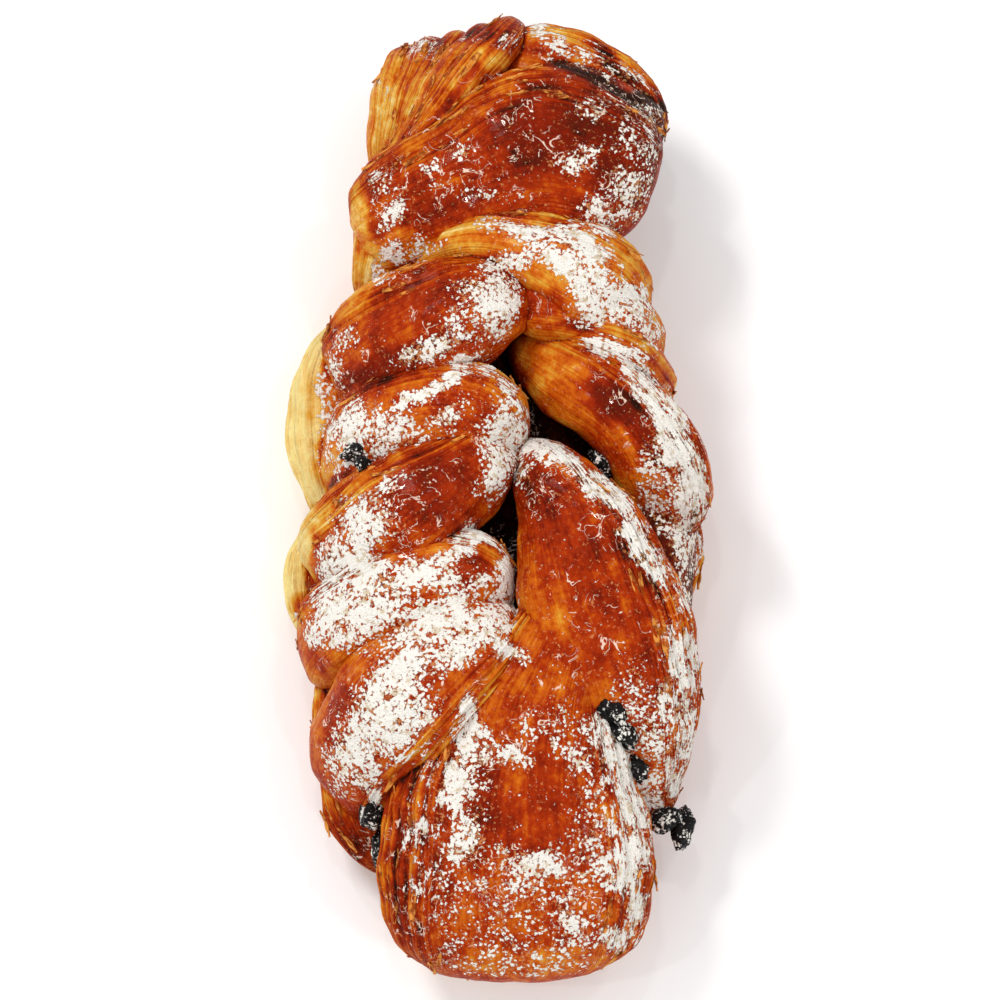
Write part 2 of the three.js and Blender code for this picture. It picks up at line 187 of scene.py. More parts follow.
# Icing sugar as it shows from above: patches of u, v, half length, half width, turn and share white,
# in millimetres on the picture plane
SUGAR_PATCHES = (
    # Far end
    (8.5, 80, 4.2, 1.6, -35, 0.62), (15.5, 76.5, 5.9, 1.6, -32, 0.42), (2, 80, 2.1, 1.4, 0, 0.35),
    (11.5, 75.5, 2.4, 1.2, -30, 0.4), (23.5, 73.6, 4.5, 1, -38, 0.42), (24, 62, 2.6, 6, 10, 0.28),
    (-13.5, 79, 1.4, 2.3, 80, 0.5), (-21, 72, 1.6, 1.7, 60, 0.3), (16, 68, 1.7, 2.8, 70, 0.42),
    (20, 70, 2.8, 1, -15, 0.35), (25.5, 67, 3.8, 1.6, -60, 0.42), (21, 61.5, 2.1, 1.6, -40, 0.32),
    (13.5, 58.5, 2.6, 1.6, 45, 0.5), (22.5, 54.5, 3.1, 2.4, 0, 0.56), (17.5, 49.5, 3.5, 2.1, -50, 0.58),
    (23.5, 49.5, 1.4, 3.8, 80, 0.45), (-7, 61, 1.6, 1, -20, 0.5), (-11.5, 58.5, 1.6, 1, 20, 0.45),
    (-20.5, 55, 1.9, 1.6, 30, 0.45), (-19, 49.5, 3.1, 1.6, 75, 0.6), (-4, 53.5, 6.9, 1, -8, 0.2),
    (-18.5, 42.5, 2.3, 1.7, 20, 0.6), (-21, 39.5, 2.1, 1.6, 20, 0.55), (-13, 44, 2.8, 1.4, 20, 0.45),
    # Middle
    (0.5, 47, 3.5, 1.2, -12, 0.6), (8, 46.5, 5.9, 1.4, -5, 0.78), (15, 44, 4.5, 2.1, -32, 0.72),
    (3.5, 42.5, 6.6, 1.6, 12, 0.62), (11, 42, 5.9, 2.1, -10, 0.8), (16, 38, 3.5, 2.8, -20, 0.82),
    (15.5, 33.5, 4.2, 2.6, 0, 0.82), (22, 34.5, 5.2, 2.8, -42, 0.78), (26, 30, 3.5, 1.7, -45, 0.6),
    (20, 25.5, 5, 1.9, -12, 0.82), (25, 20.5, 5, 2.4, -52, 0.84), (29, 14.5, 4.2, 2.8, -50, 0.84),
    # Left rope
    (-0.5, 33.5, 3.8, 5.2, 0, 0.93), (-5, 36, 2.4, 1.7, 10, 0.6), (-7.5, 31, 2.4, 1.4, 30, 0.5),
    (-12, 26, 6.2, 1.4, 22, 0.66), (-27, 28.5, 1.7, 1.6, 0, 0.5), (-29, 22, 1.7, 4.2, 0, 0.55),
    (-30, 14, 1.4, 7, 0, 0.5), (-25, 13, 4.5, 3.5, 0, 0.74), (-19, 12, 4.2, 3.1, 0, 0.68),
    (-25.5, 7.5, 3.1, 1.7, 20, 0.6), (-10.5, 20, 8.3, 1.2, 26, 0.7), (-7.5, 15.5, 5.2, 1.2, 24, 0.64),
    (-5, 24.5, 3.5, 1, 20, 0.6), (1, 19.5, 6.9, 0.9, -58, 0.78), (0.5, 10.5, 2.9, 5.6, 0, 0.93),
    (-1, 3, 2.1, 3.1, -10, 0.88), (-13, 11, 4.2, 1, 20, 0.35), (-20.5, 1.5, 3.5, 1.7, 42, 0.6),
    (-24, -5, 3.8, 4.2, 0, 0.88), (-25, -12.5, 5.2, 5.2, 0, 0.9), (-29, -18, 3.5, 3.8, 0, 0.8),
    (-29.5, -23.5, 4.2, 1.6, -18, 0.7), (-22, -19.5, 5.9, 3.5, 10, 0.88), (-14, -13.5, 5.9, 2.4, 15, 0.88),
    (-7.5, -8.5, 5.6, 1.6, 28, 0.9), (-3, -6, 2.8, 1.4, -30, 0.85), (1, -13.5, 1.2, 6.6, 8, 0.84),
    (-3.5, -14, 1.7, 1.2, 0, 0.7), (-10.5, -21, 9.4, 3.1, 22, 0.95), (-3, -21, 4.5, 3.8, 20, 0.93),
    (-16.5, -29, 5.2, 3.1, 40, 0.93), (-7.5, -26.5, 5.9, 2.1, 30, 0.93), (2, -26.5, 3.1, 1.6, -32, 0.82),
    (-20, -35.5, 4.5, 3.8, 30, 0.88), (-24, -42, 3.5, 5.9, -20, 0.9), (-16.5, -39.5, 5.9, 3.1, 45, 0.86),
    (-23.5, -48, 2.4, 2.4, 0, 0.84), (-22, -53, 1, 2.8, 0, 0.75), (-28, -45, 2.1, 5.2, 0, 0.5),
    # Right rope
    (7.5, 9.5, 6.6, 2.1, -30, 0.9), (18, 1.5, 7.3, 1.7, -44, 0.92), (25.5, -9.5, 5.9, 1.9, -58, 0.8),
    (30.5, 9.5, 3.5, 3.1, -40, 0.84), (33.5, 1.5, 3.1, 5.2, 0, 0.84), (28, 3.5, 5.2, 2.1, -50, 0.55),
    (33, -8, 2.1, 5.2, 8, 0.62), (28.5, -3, 5.9, 1.2, -56, 0.55), (32, -15.5, 1.6, 3.5, 0, 0.5),
    (4, 5, 1.7, 2.4, -20, 0.5), (32, -28, 2.4, 5.6, 10, 0.72), (29, -35.5, 2.1, 3.8, 10, 0.6),
    (32.5, -39, 1.4, 7.6, 0, 0.66), (28.5, -42.5, 2.8, 2.1, 0, 0.55), (24.5, -38.5, 2.4, 2.1, 0, 0.55),
    (30.5, -47.5, 2.4, 3.8, 0, 0.6), (24.5, -43, 1.7, 2.1, 0, 0.4),
    # Near end
    (-5, -37, 1.4, 3.5, 20, 0.82), (-4.5, -41.5, 2.8, 3.5, 0, 0.82), (0.5, -43.5, 4.2, 1.6, -18, 0.7),
    (4.5, -40.5, 1.2, 3.8, 0, 0.42), (-7, -48, 2.1, 4.2, 0, 0.82), (-7.5, -52.5, 1.7, 2.4, 0, 0.66),
    (-6, -58.5, 2.6, 2.1, 0, 0.9), (-7.5, -61, 2.4, 1.6, 0, 0.66), (-13, -56.5, 1.2, 2.1, 0, 0.42),
    (-12, -48.5, 1.4, 5.2, 0, 0.3), (1, -63, 2.4, 2.1, 0, 0.45), (5.5, -64.5, 3.1, 2.4, -20, 0.7),
    (8.5, -63.5, 2.1, 2.1, 0, 0.66), (3, -67.5, 2.8, 1.4, 0, 0.6), (-3.5, -67.5, 2.4, 1.4, 0, 0.4),
    (11.5, -72, 2.1, 4.2, 20, 0.5), (14, -74, 2.1, 2.1, 0, 0.55), (-7.5, -71, 1.6, 1.6, 0, 0.42),
    (16, -40.5, 3.8, 1.4, -50, 0.55), (13.5, -45, 1.7, 2.4, 20, 0.45), (18.5, -40.5, 2.8, 1.6, -60, 0.7),
    (21, -46.5, 4.9, 1.7, -62, 0.74), (23, -53, 2.1, 5.9, 8, 0.74), (27, -53, 1.4, 5.9, 10, 0.6),
    (20, -64.5, 3.8, 3.1, 0, 0.8), (23.5, -60.5, 2.6, 3.1, 0, 0.68), (23.5, -69.5, 1.6, 4.9, 0, 0.62),
    (20.5, -76, 3.1, 1.9, 0, 0.86), (14, -66, 2.1, 1.7, 0, 0.4), (10.5, -78, 6.9, 2.8, 0, 0.25),
    (-15.5, -60.5, 1, 8.7, 0, 0.28), (2, -73, 14, 6, 0, 0.2), (-8, -54, 5, 12, 0, 0.26),
    (7, -66, 8, 4, 0, 0.24), (18, -56, 5, 12, 0, 0.32), (13, -41, 7, 3.5, -50, 0.28),
    (24, -37, 4, 7, 0, 0.3), (3, -79.5, 13, 2.4, 0, 0.27), (-13, -64, 3, 13, 0, 0.2))

# Places that the sugar missed, as the same six numbers
BARE_PATCHES = (
    (8, 33.5, 4.2, 4.2, 0, 0), (18, 72.4, 11.5, 1.1, -24, 0.04), (-19.5, -8.5, 1.6, 1.4, 0, 0.1),
    (-5, -11.5, 2.6, 1.6, -20, 0.12), (-3, -17.5, 1.7, 1.4, 0, 0.2), (-12, 0, 6.9, 4.5, 20, 0.06),
    (-3.5, 16, 3.1, 4.5, -10, 0.12), (10.5, 24.5, 10.4, 3.5, -38, 0), (17.5, 13, 7.6, 2.8, -38, 0))

# How it browned, as the same numbers with how dark last. Each patch lies over the ones before it.
BAKE_PATCHES = (
    (-10.5, 76.5, 10.4, 3.5, 15, 0.5), (-13, 79, 4.9, 1.7, 0, 0.66), (-3, 80.5, 6.9, 1.7, 10, 0.72),
    (-20, 67.5, 2.4, 7.6, 0, 0.26), (-15.5, 71, 2.1, 6.9, 20, 0.4), (5, 77.5, 6.9, 2.1, -5, 0.5),
    (21, 74.5, 8.7, 1.4, -40, 0.9), (13, 72.6, 5.9, 1.6, -20, 0.82), (24.5, 71, 3.8, 1.2, -35, 0.58),
    (-5, 64, 8.7, 4.2, 25, 0.62), (-12, 51, 6.9, 3.1, 6, 0.79), (7, 64, 8, 7.6, 0, 0.82),
    (19, 66, 7.6, 5.2, -20, 0.89), (26, 64, 3.1, 7.6, 0, 0.9), (21, 55.5, 5.2, 4.2, 0, 0.87),
    (17.5, 72.4, 12.5, 0.9, -23, 1.04), (25.5, 69, 4.5, 1.1, -24, 1.04), (0, 51, 8.7, 1.6, 4, 0.6),
    (-16.5, 54, 2.4, 5.2, 10, 0.66), (-24.5, 47, 1.6, 7.6, 0, 0.26), (-22.5, 41, 3.5, 3.5, 0, 0.2),
    (-10.5, 44.5, 8.3, 1.6, 15, 0.38), (-5, 41.5, 6.9, 1.2, 12, 0.66), (8.5, 34.5, 4.5, 2.4, -5, 0.54),
    (11.5, 30, 5.9, 1, -4, 0.78), (8, 25.5, 7.6, 4.2, -30, 0.4), (14.5, 18.5, 5.9, 3.1, -38, 0.48),
    (20.5, 16.5, 7, 3.4, -35, 0.9), (26.5, 10.5, 5.4, 4.2, -45, 0.78), (19.5, 9, 5.2, 2.1, -45, 0.52),
    (-27, 34.5, 2.4, 3.8, 0, 0.36), (-13, 34, 7.6, 4.5, 10, 0.71), (-20, 23, 7.6, 3.1, 22, 0.82),
    (-15.5, 17.5, 5.2, 1.7, 25, 0.6), (-26, 15.5, 4.5, 3.5, 20, 0.52), (-7, 15.5, 5.2, 3.5, 0, 0.66),
    (-31.5, 17.5, 2.4, 6.9, 0, 0.1), (-30, 14, 1.3, 8, 0, 0.4), (-29.5, 6.5, 3.5, 2.4, 40, 0.26),
    (-34.5, -10.5, 1.9, 7.3, 0, 0.03), (-31, -3.5, 2.4, 2.8, 40, 0.2), (-25.5, 1.5, 8, 1.2, 35, 0.44),
    (-12, 3, 8.7, 6.6, 20, 0.8), (-26, -12, 5.9, 6.9, 0, 0.64), (-5, -12, 3.8, 3.1, 0, 0.76),
    (-32.5, -19, 3.1, 3.1, 0, 0.5), (-20, -17.5, 8.7, 4.5, 10, 0.66), (-31.5, -33, 3.5, 8.7, 0, 0.38),
    (-17.5, -33, 10.4, 5.2, 35, 0.68), (-28, -41.5, 4.2, 6.9, 0, 0.6), (-28, -55.5, 3.1, 6.9, -30, 0.6),
    (-26, -60, 2.5, 5, -40, 0.74), (5, 3.5, 5.2, 4.2, -50, 0.74), (11, -5, 8, 6.2, -50, 0.76),
    (7, -17.5, 6.9, 2.8, -50, 0.44), (4, -24.5, 4.2, 4.2, 0, 0.5), (17.5, -15.5, 10.4, 3.8, -52, 0.7),
    (19, -24.5, 8.7, 2.4, -55, 0.6), (24.5, -10.5, 6.9, 2.4, -60, 0.78), (26, -33, 4.5, 10.4, -15, 0.66),
    (33, 3.5, 3.5, 12.1, 0, 0.7), (8, -50.5, 9.7, 10.4, 0, 0.64), (3.5, -48, 3.8, 3.5, 0, 0.57),
    (17.5, -41.5, 5.2, 4.2, -50, 0.74), (-3.5, -52, 3.5, 10.4, 0, 0.78), (8, -60.5, 6.9, 3.8, 0, 0.7),
    (-1.5, -72, 9.7, 3.8, 0, 0.5), (10.5, -74.5, 8.7, 4.2, 0, 0.62), (3.5, -80, 15.6, 2.6, 0, 0.47),
    (-18, -60.5, 2.1, 13.9, 0, 0.52), (-15, -55.5, 1.4, 12.1, 0, 0.6), (-12, -57.5, 1.4, 13.9, 0, 0.6),
    (-9.5, -60.5, 1.4, 12.1, 0, 0.68), (24.5, -66, 2.8, 10.4, 0, 0.56), (1, 76, 4, 2, 0, 0.36),
    (-32, -27, 2.2, 3.2, 0, 0.64), (-26, -35, 3, 3, 0, 0.72), (-17.3, -67, 1.8, 8, 0, 0.7),
    (-17.3, 45, 3, 2, 15, 0.34), (10.4, 24.5, 4, 3, -30, 0.34), (-25, 34, 1.6, 3, 0, 0.34),
    (9, 70.5, 3.6, 2.4, -15, 0.85), (0, 60.5, 2.4, 2.4, 0, 0.68), (-6, 52, 2.4, 2.4, 0, 0.7))

# Names of the data that the surface carries for its materials
PLY_MAP = "ply"
FOLD_FACES = "fold"
# bake holds how dark the crust baked, with painted shade in creases, in the pit and at ply feet
BAKE = "bake"
SUGAR = "sugar"
LAYERED = "layered"
PLY_RUN = "ply_run"

# The grid of the fine surface: a step that counts as nothing, the fewest rings and angles, how long
# its cells are against their width, its steps across a ply and the gap beside the plies, in steps
CURVE_STEP = 1e-4
FEWEST_RINGS = 16
FEWEST_ANGLES = 24
LONG_STEP = 2.2
STEPS_PER_PLY = 8
PLY_GAP = 0.6

# The unevenness of a fold, with the height of each kind first: slow swells and dimples, lumps of a
# size, and stretch marks of a length, a width and a place of their own in the noise. The waves run
# and start differently along y and z.
SWELL = (0.7, 0.22)
DIMPLE = (0.3, 0.55)
WAVE_STRETCH = (1.13, 0.9)
WAVE_SHIFT = (1.7, 2.3)
LUMPS = ((0.2, 3.6), (0.1, 1.7))
STRETCH_MARKS = ((0.26, 13, 2.6, 0.0), (0.13, 7, 1.15, 5.5))

# A ply's relief: how its edge wanders and tears along the fold, how high its ledge, its tears and its
# sheets are, where its ledge is highest, and powers that round off its shapes
PLY_WANDER = ((0.16, 0.21, 0.5), (0.1, 0.47, 1.0))
PLY_TEAR = (7, 7.3)
PLY_HEIGHT = (0.8, 0.35, 0.25)
LEDGE_PEAK = 0.72
LEDGE_POWER = 0.8
SHEETS_PER_PLY = 3
SHEET_SHIFT = 0.4
SHEET_POWER = 0.7
RANGE_POWER = 0.4
ENDS_POWER = 0.7

# Whole numbers that scramble a lattice point into a random value
LATTICE_STEPS = (73856093, 19349663, 83492791)
LATTICE_MIX = 1274126177
LATTICE_SHIFT = 31.7

# Turns the noise and the cells of the nodes into values with a mean of 0 and a spread of about 1
NOISE_GAIN = 12
NOISE_TURN = (0.7, 0.5, 0.9)
GRAIN_MEAN = 0.55
GRAIN_GAIN = 5.5

# Where a patch ends and how soft its end is, as parts of its size, then the size and the first seed
# of the two noises that bend its edge, and how far each of them does
PATCH_EDGE = (1.45, 0.9)
SUGAR_EDGE = (1.9, 1.4)
EDGE_NOISE = ((5, 11), (1.9, 13))
BAKE_BEND = (0.8, 0.4)
SUGAR_BEND = (0.9, 0.9)
BARE_BEND = (0.7, 0.6)

# The least and the most of a place's sugar, how far it sets the share that is white, how a face has
# to lie to hold it and how much a crease hides of it
LOOSE_SUGAR = 0.045
THICK_SUGAR = 0.75
SUGAR_SPREAD = 3.2
FACES_UP = (0.0, 0.45)
HIDDEN_IN_CREASE = 0.5

# How dark the crust is at some places, and how far that takes over from what the patches set. In the
# creases and in the pit this darkness is painted shade
UNDERSIDE_BAKE = 0.5
LOW_SIDE_BAKE = (0.36, 0.75)
CREASE_SHADE = (0.98, 0.6)
SUGARED_BAKE = (0.82, 0.5)
PIT_SHADE = (1.0, 1.0)

# Such places, each from none to all: heights and depths in millimetres, and the others from 0 to 1
LOW_SIDE = (4, 16)
STEEP = (0.2, 0.7)
STAYED_PALE = (0.05, 0.3)
LOW_WHERE_PALE = 0.25
CREASE = (0.25, 1.1)
CREASE_ROUNDS = 40
SUGARED = (0.3, 0.8)

# Plies: the bake at which they show, how much darker they are, the painted shade that the hollow at
# the foot of a ledge adds to that and what its top takes off, and the depth of the one and the height
# of the other
PLIES_SHOW = (-0.2, 0.45)
PLY_BAKE = 0.03
LEDGE_FOOT_SHADE = 0.16
LEDGE_TOP_BAKE = 0.11
LEDGE_FOOT = (0.01, 0.07)
LEDGE_TOP = (0.02, 0.09)
LEDGE_ROUNDS = 3
SMOOTHING = 0.6

# The pit between the ropes: its middle, its half width and half length, its top and how that varies.
# Below its top the crust is painted as dark as burnt, painted shade in the deep slit
PIT_MIDDLE = 2
PIT_WIDE = (13, 19)
PIT_LONG = (30, 36)
PIT_TOP = (17.5, 25)
PIT_UNEVEN = 1.5

# How layered a fold's flank is without plies, how a range of plies fades out in degrees, and what
# keeps the ply maps of the folds apart
FLANK_PLIES = 0.28
LAYERS_FADE = (8, 4)
MAP_SHIFT = (53, 37)

# The tray: its outline, the spacing of points in it, its depth and how far the crust lifted off it
TRAY_HALF = (45.0, 92.0)
TRAY_STEP = 1.5
TRAY_DEPTH = 30
TRAY_LIFT = ((0.8, 11, 21), (0.5, 4, 22))
HIGHEST_LIFT = 0.9

# Chips: the breaks that cut each one's ball, how far from its middle they lie, and the least cut
CHIP_SEED = 3
CHIP_BREAKS = 9
CHIP_BREAK_AT = (0.7, 1.0)
CHIP_LEAST_CUT = 0.9

# A chip's lumps: their size, how many times finer the coarse and the fine ones are, and how strong
# the fine ones are against the coarse
CHIP_LUMP = 1.1
CHIP_COARSE = 3
CHIP_FINE = 9
CHIP_FINE_SHARE = 0.4

# Grains of sugar: where there can be any, how clear the specks are, and how one is turned and shaped
SOME_SUGAR = 0.02
CLEAR_SPECK = 0.6
WHOLE_TURNS = (6.28, 6.28, 6.28)
GRAIN_SHAPE = (1, 0.8, 0.65)

# Flakes: where they lift off, and how one is shaped, tipped and sized, and where it stays sharp
FLAKES_FREE = (0.1, 0.4)
FLAKES_LAYERED = (0.5, 0.9)
FLAKES_BAKED = (0.2, 0.4)
FLAKE_RAGS = 0.4
FLAKE_NARROWS = (-2.6, 0.16)
FLAKE_CURLS = (6.0, 0.5)
FLAKE_TIP = (0.8, 1, 0.8)
FLAKE_SIZES = (0.45, 1.0)
FLAKE_CREASE = 40
FLAKE_CELLS = {"Vertices X": 8, "Vertices Y": 4, "Vertices Z": 2}

# The crust's patterns on the ply map: how each is scaled along the fold and across it
SHEETS = (0.03, 1.5)
BANDS = (0.025, 0.5)
FIBRES = (0.06, 2.6)
STREAKS = (0.5, 2.6)

# Sizes of the lumps in the other patterns
MOTTLE = 5 * MM
BLISTERS = 1.1 * MM
PORES = 0.4 * MM
WRINKLES = 4.2 * MM
WRINKLED_PLACES = 9 * MM
WRINKLED_SPOTS = 3.4 * MM
FLECK_SIZE = 0.7 * MM
SPECKS = 0.65 * MM
GRAINS = 0.7 * MM
CLUMPS = 2.8 * MM
THIN_SPOTS = 1.5 * MM
POWDER = 0.3 * MM
CHIP_GRAIN = 0.6 * MM
CHIP_BLOOM = 1.8 * MM
CHIP_DUST = 2.0 * MM
SUGAR_TONE = 1.6 * MM
SUGAR_GRAIN = 0.12 * MM
FLAKE_TONE = 1.8 * MM
FLOOR_GRAIN = 30 * MM

# How much each pattern counts in the bake's unevenness and in the lie of the sugar
BLISTER_SHARE = 0.5
FIBRE_SHARE = 0.45
BAND_SHARE = 0.7
SPECK_SHARE = 0.65
GRAIN_SHARE = 0.6
STREAK_SHARE = 0.6
CLUMP_SHARE = 0.3
CHIP_CLUMP_SHARE = 0.35
DUST_PER_SUGAR = 2.8

# Steps, as from and to, then their values there: what the bake does to the patterns, and the edges of
# the wrinkles, the flecks, the sugar and what lies on the chips
UNEVEN_IF_PALE = (0.0, 0.3, 0.35, 1.0)
UNEVEN_IF_DARK = (0.72, 0.88, 1.0, 0.35)
PLIES_IF_PALE = (0.0, 0.5, 0.25, 1.0)
WRINKLED_BAKE = (0.45, 0.6)
WRINKLED_PLACE_EDGE = (0.0, 0.4)
WRINKLED_SPOT_EDGE = (0.0, 0.3)
WRINKLE_LINE = (0.1, 0.26, 1.0, 0.0)
FLECK_EDGE = (1.1, 2.4, 0.0, 0.5)
FLECK_IF_DARK = (-1.0, 0.8, 0.3, 1.0)
NO_SUGAR = (0.0, 0.16, 1.0, 0.0)
SPECK_EDGE = (-0.1, 0.15)
THIN_EDGE = (-2.2, -0.5)
GLOSSY_BAKE = (0.2, 0.5)
CHIP_BLOOM_EDGE = (-0.8, 1.6, 0.0, 0.6)
CHIP_DUST_EDGE = (-0.1, 0.2)

# Ranges of the patterns that set a tone, and how bright the dim parts of sugar and floor are
ONE_SPREAD = (-1, 1)
BLISTER_SPREAD = (-1.2, 1.2)
SUGAR_TONES = (0.3, 0.7)
FLOOR_TONES = (0.2, 0.8)
DIM_SUGAR = 0.86
DIM_FLOOR = 0.985

# How each surface takes the light: roughness from and to, the shine of pale dough, and the shine of
# the wrinkles with the share of the painted highlight along them
CRUST_ROUGH = (0.24, 0.42)
CHIP_ROUGH = (0.3, 0.55)
FLAKE_ROUGH = (0.5, 0.7)
FLOOR_ROUGH = (0.75, 0.9)
POWDER_ROUGH = 0.9
PALE_GLOSS = 0.1
WRINKLE_GLOSS = 0.8
WRINKLE_HIGHLIGHT_SHARE = 0.75

# How high the patterns stand, in millimetres, and how dark each colour of the crust is
BLISTER_HEIGHT = 0.035
PORE_HEIGHT = 0.01
SHEET_HEIGHT = 0.07
FIBRE_HEIGHT = 0.025
POWDER_HEIGHT = 0.03
SUGAR_HEIGHT = 0.12
CHIP_HEIGHT = 0.03
CHIP_DUST_HEIGHT = 0.1
GRAIN_HEIGHT = 0.05
FLAKE_HEIGHT = 0.03
BAKE_STOPS = (0.0, 0.2, 0.4, 0.6, 0.8, 0.94, 1.0)


def catmull_rom(points, t):
    """Points on the centripetal curve through points, at t from 0 to 1."""
    last = len(points) - 1
    place = last * np.clip(t, 0, 1)
    i = np.minimum(np.floor(place).astype(int), last - 1)
    w = (place - i)[:, None]
    ends = np.vstack([2 * points[0] - points[1], points, 2 * points[-1] - points[-2]])
    p0, p1, p2, p3 = (ends[i + k] for k in range(4))
    gaps = [np.sum((b - a) ** 2, axis=1)[:, None] ** 0.25 for a, b in ((p0, p1), (p1, p2), (p2, p3))]
    gaps[1] = np.where(gaps[1] < CURVE_STEP, 1.0, gaps[1])
    d0, d1, d2 = (np.where(g < CURVE_STEP, gaps[1], g) for g in gaps)
    a = ((p1 - p0) / d0 - (p2 - p0) / (d0 + d1) + (p2 - p1) / d1) * d1
    b = ((p2 - p1) / d1 - (p3 - p1) / (d1 + d2) + (p3 - p2) / d2) * d1
    return p1 + a * w + (-3 * p1 + 3 * p2 - 2 * a - b) * w**2 + (2 * p1 - 2 * p2 + a + b) * w**3


def unit(rows):
    return rows / np.linalg.norm(rows, axis=-1, keepdims=True)


def signed_power(v, n):
    return np.sign(v) * np.abs(v) ** (2 / n)


def turn_of(degrees):
    """The cosine and the sine of an angle."""
    return math.cos(math.radians(degrees)), math.sin(math.radians(degrees))


def smooth(x, low, high):
    """0 below low, 1 above high and soft between."""
    x = np.clip((x - low) / (high - low), 0, 1)
    return x * x * (3 - 2 * x)


def toward(values, share, goal, most=1.0):
    """The values moved toward a goal, by most where the share is 1."""
    return values + (goal - values) * most * share


def wave(p, rate, seed):
    """The unevenness of baked dough: a slow wave through space, different for each fold."""
    x, y, z = p[..., 0], p[..., 1], p[..., 2]
    return (
        np.sin(rate * x + seed)
        * np.sin(WAVE_STRETCH[0] * rate * y + WAVE_SHIFT[0] * seed)
        * np.cos(WAVE_STRETCH[1] * rate * z + WAVE_SHIFT[1] * seed))


def lattice_noise(p, size, seed):
    """Smooth random values from -1 to 1 at points p, with lumps of about the given size."""
    q = p / size + LATTICE_SHIFT * seed
    cell = np.floor(q).astype(np.int64)
    f = smooth(q - cell, 0, 1)
    total = 0.0
    for corner in range(8):
        step = np.array([corner & 1, corner >> 1 & 1, corner >> 2])
        h = ((cell + step) * np.array(LATTICE_STEPS)).sum(-1)
        h = (h ^ (h >> 13)) * LATTICE_MIX
        value = ((h ^ (h >> 16)) & 0xFFFF) / 32767.5 - 1
        total = total + value * np.where(step, f, 1 - f).prod(-1)
    return total


def run_length(f):
    """The length of a fold, along its stations."""
    return np.linalg.norm(np.diff(f["stations"][:, :3], axis=0), axis=1).sum()


def section_angles(f, step):
    """The angles round a section: even steps, with finer ones where the plies show."""
    around = math.pi * f["stations"][:, 3:5].mean(0).sum() / 2
    turn = 360 / max(FEWEST_ANGLES, round(around / step))
    angles = np.arange(-90, 270 - turn / 2, turn)
    for start, end, count, _ in f["layers"]:
        angles = angles[(angles < start - PLY_GAP * turn) | (angles > end + PLY_GAP * turn)]
        angles = np.append(angles, np.linspace(start, end, STEPS_PER_PLY * count + 1))
    return np.sort(angles)


def ply_relief(f, angle, t, run):
    """How far the plies stand out, at angles round the section and t along it. Each ply ends in its
    own ragged ledge, and its sheets show as finer steps."""
    height = 0.0
    low, torn, sheet = PLY_HEIGHT
    for start, end, count, deep in f["layers"]:
        wander = sum(far * np.sin(rate * run + shift * start) for far, rate, shift in PLY_WANDER)
        u = (angle - start) / (end - start)
        inside = (u > 0) & (u < 1)
        edge = np.sin(math.pi * np.clip(u, 0, 1)) ** RANGE_POWER
        v = count * u + wander * edge
        ply = np.floor(v)
        part = v - ply
        ledge = np.minimum(part / LEDGE_PEAK, (1 - part) / (1 - LEDGE_PEAK)) ** LEDGE_POWER
        place = np.stack(np.broadcast_arrays(run / PLY_TEAR[0], PLY_TEAR[1] * ply, 0.0), -1)
        ragged = lattice_noise(place, 1, 5)
        sheets = np.abs(np.sin(math.pi * (SHEETS_PER_PLY * v + SHEET_SHIFT))) ** SHEET_POWER
        height = height + inside * edge * deep * ((low + torn * ragged) * ledge + sheet * sheets)
    return height * np.sin(math.pi * t) ** ENDS_POWER


def grain_relief(run, around, seed):
    """Stretch marks of the pulled dough, which run along a fold. run and around are in millimetres."""
    height = 0.0
    for number, (high, long, wide, shift) in enumerate(STRETCH_MARKS):
        place = np.stack(np.broadcast_arrays(run / long, around / wide, seed + shift), -1)
        height = height + high * lattice_noise(place, 1, 6 + number)
    return height


def fold_surface(f, step):
    """Points of a fold's skin as rings of a grid, with its two end points last, and the t and the
    angle of each ring point."""
    path, size = f["stations"][:, :3], f["stations"][:, 3:5]
    length = run_length(f)
    rings = max(FEWEST_RINGS, round(0.5 * math.pi * length / (LONG_STEP * step)))
    t = 0.5 - 0.5 * np.cos(math.pi * np.arange(1, rings) / rings)
    angle = section_angles(f, step)
    centre = catmull_rom(path, t)
    tangent = unit(catmull_rom(path, t + CURVE_STEP) - catmull_rom(path, t - CURVE_STEP))
    width = catmull_rom(np.pad(size, ((0, 0), (0, 1))), t)
    heading = np.radians(f["heading"][0] + (f["heading"][1] - f["heading"][0]) * t)
    side = np.stack([np.sin(heading), -np.cos(heading), 0 * heading], 1)
    side = unit(side - (side * tangent).sum(1, keepdims=True) * tangent)
    c, s = turn_of(-f["roll"])
    side = side * c + np.cross(tangent, side) * s
    out = np.cross(side, tangent)
    end = np.sqrt(np.maximum(0, 1 - np.abs(2 * t - 1) ** f["blunt"]))[:, None]
    cos, sin = np.cos(np.radians(angle))[None], np.sin(np.radians(angle))[None]
    across = signed_power(cos, f["square"]) * width[:, :1] / 2 * end
    up = signed_power(sin, f["square"]) * width[:, 1:2] / 2 * end
    points = centre[:, None] + side[:, None] * across[..., None] + out[:, None] * up[..., None]
    seed_a, seed_b = path[0, 0], path[0, 1]
    soft = SWELL[0] * wave(points, SWELL[1], seed_a) + DIMPLE[0] * wave(points, DIMPLE[1], seed_b)
    lumps = sum(high * lattice_noise(points, wide, 1 + n) for n, (high, wide) in enumerate(LUMPS))
    run = length * t[:, None]
    around = np.radians(angle)[None] * size.mean() / 2
    relief = ply_relief(f, angle[None], t[:, None], run) + grain_relief(run, around, seed_a + seed_b)
    swell = end * (soft + lumps + relief)
    points += side[:, None] * (swell * cos)[..., None] + out[:, None] * (swell * sin)[..., None]
    tips = catmull_rom(path, np.array([0.0, 1.0]))
    return points, tips, t, angle


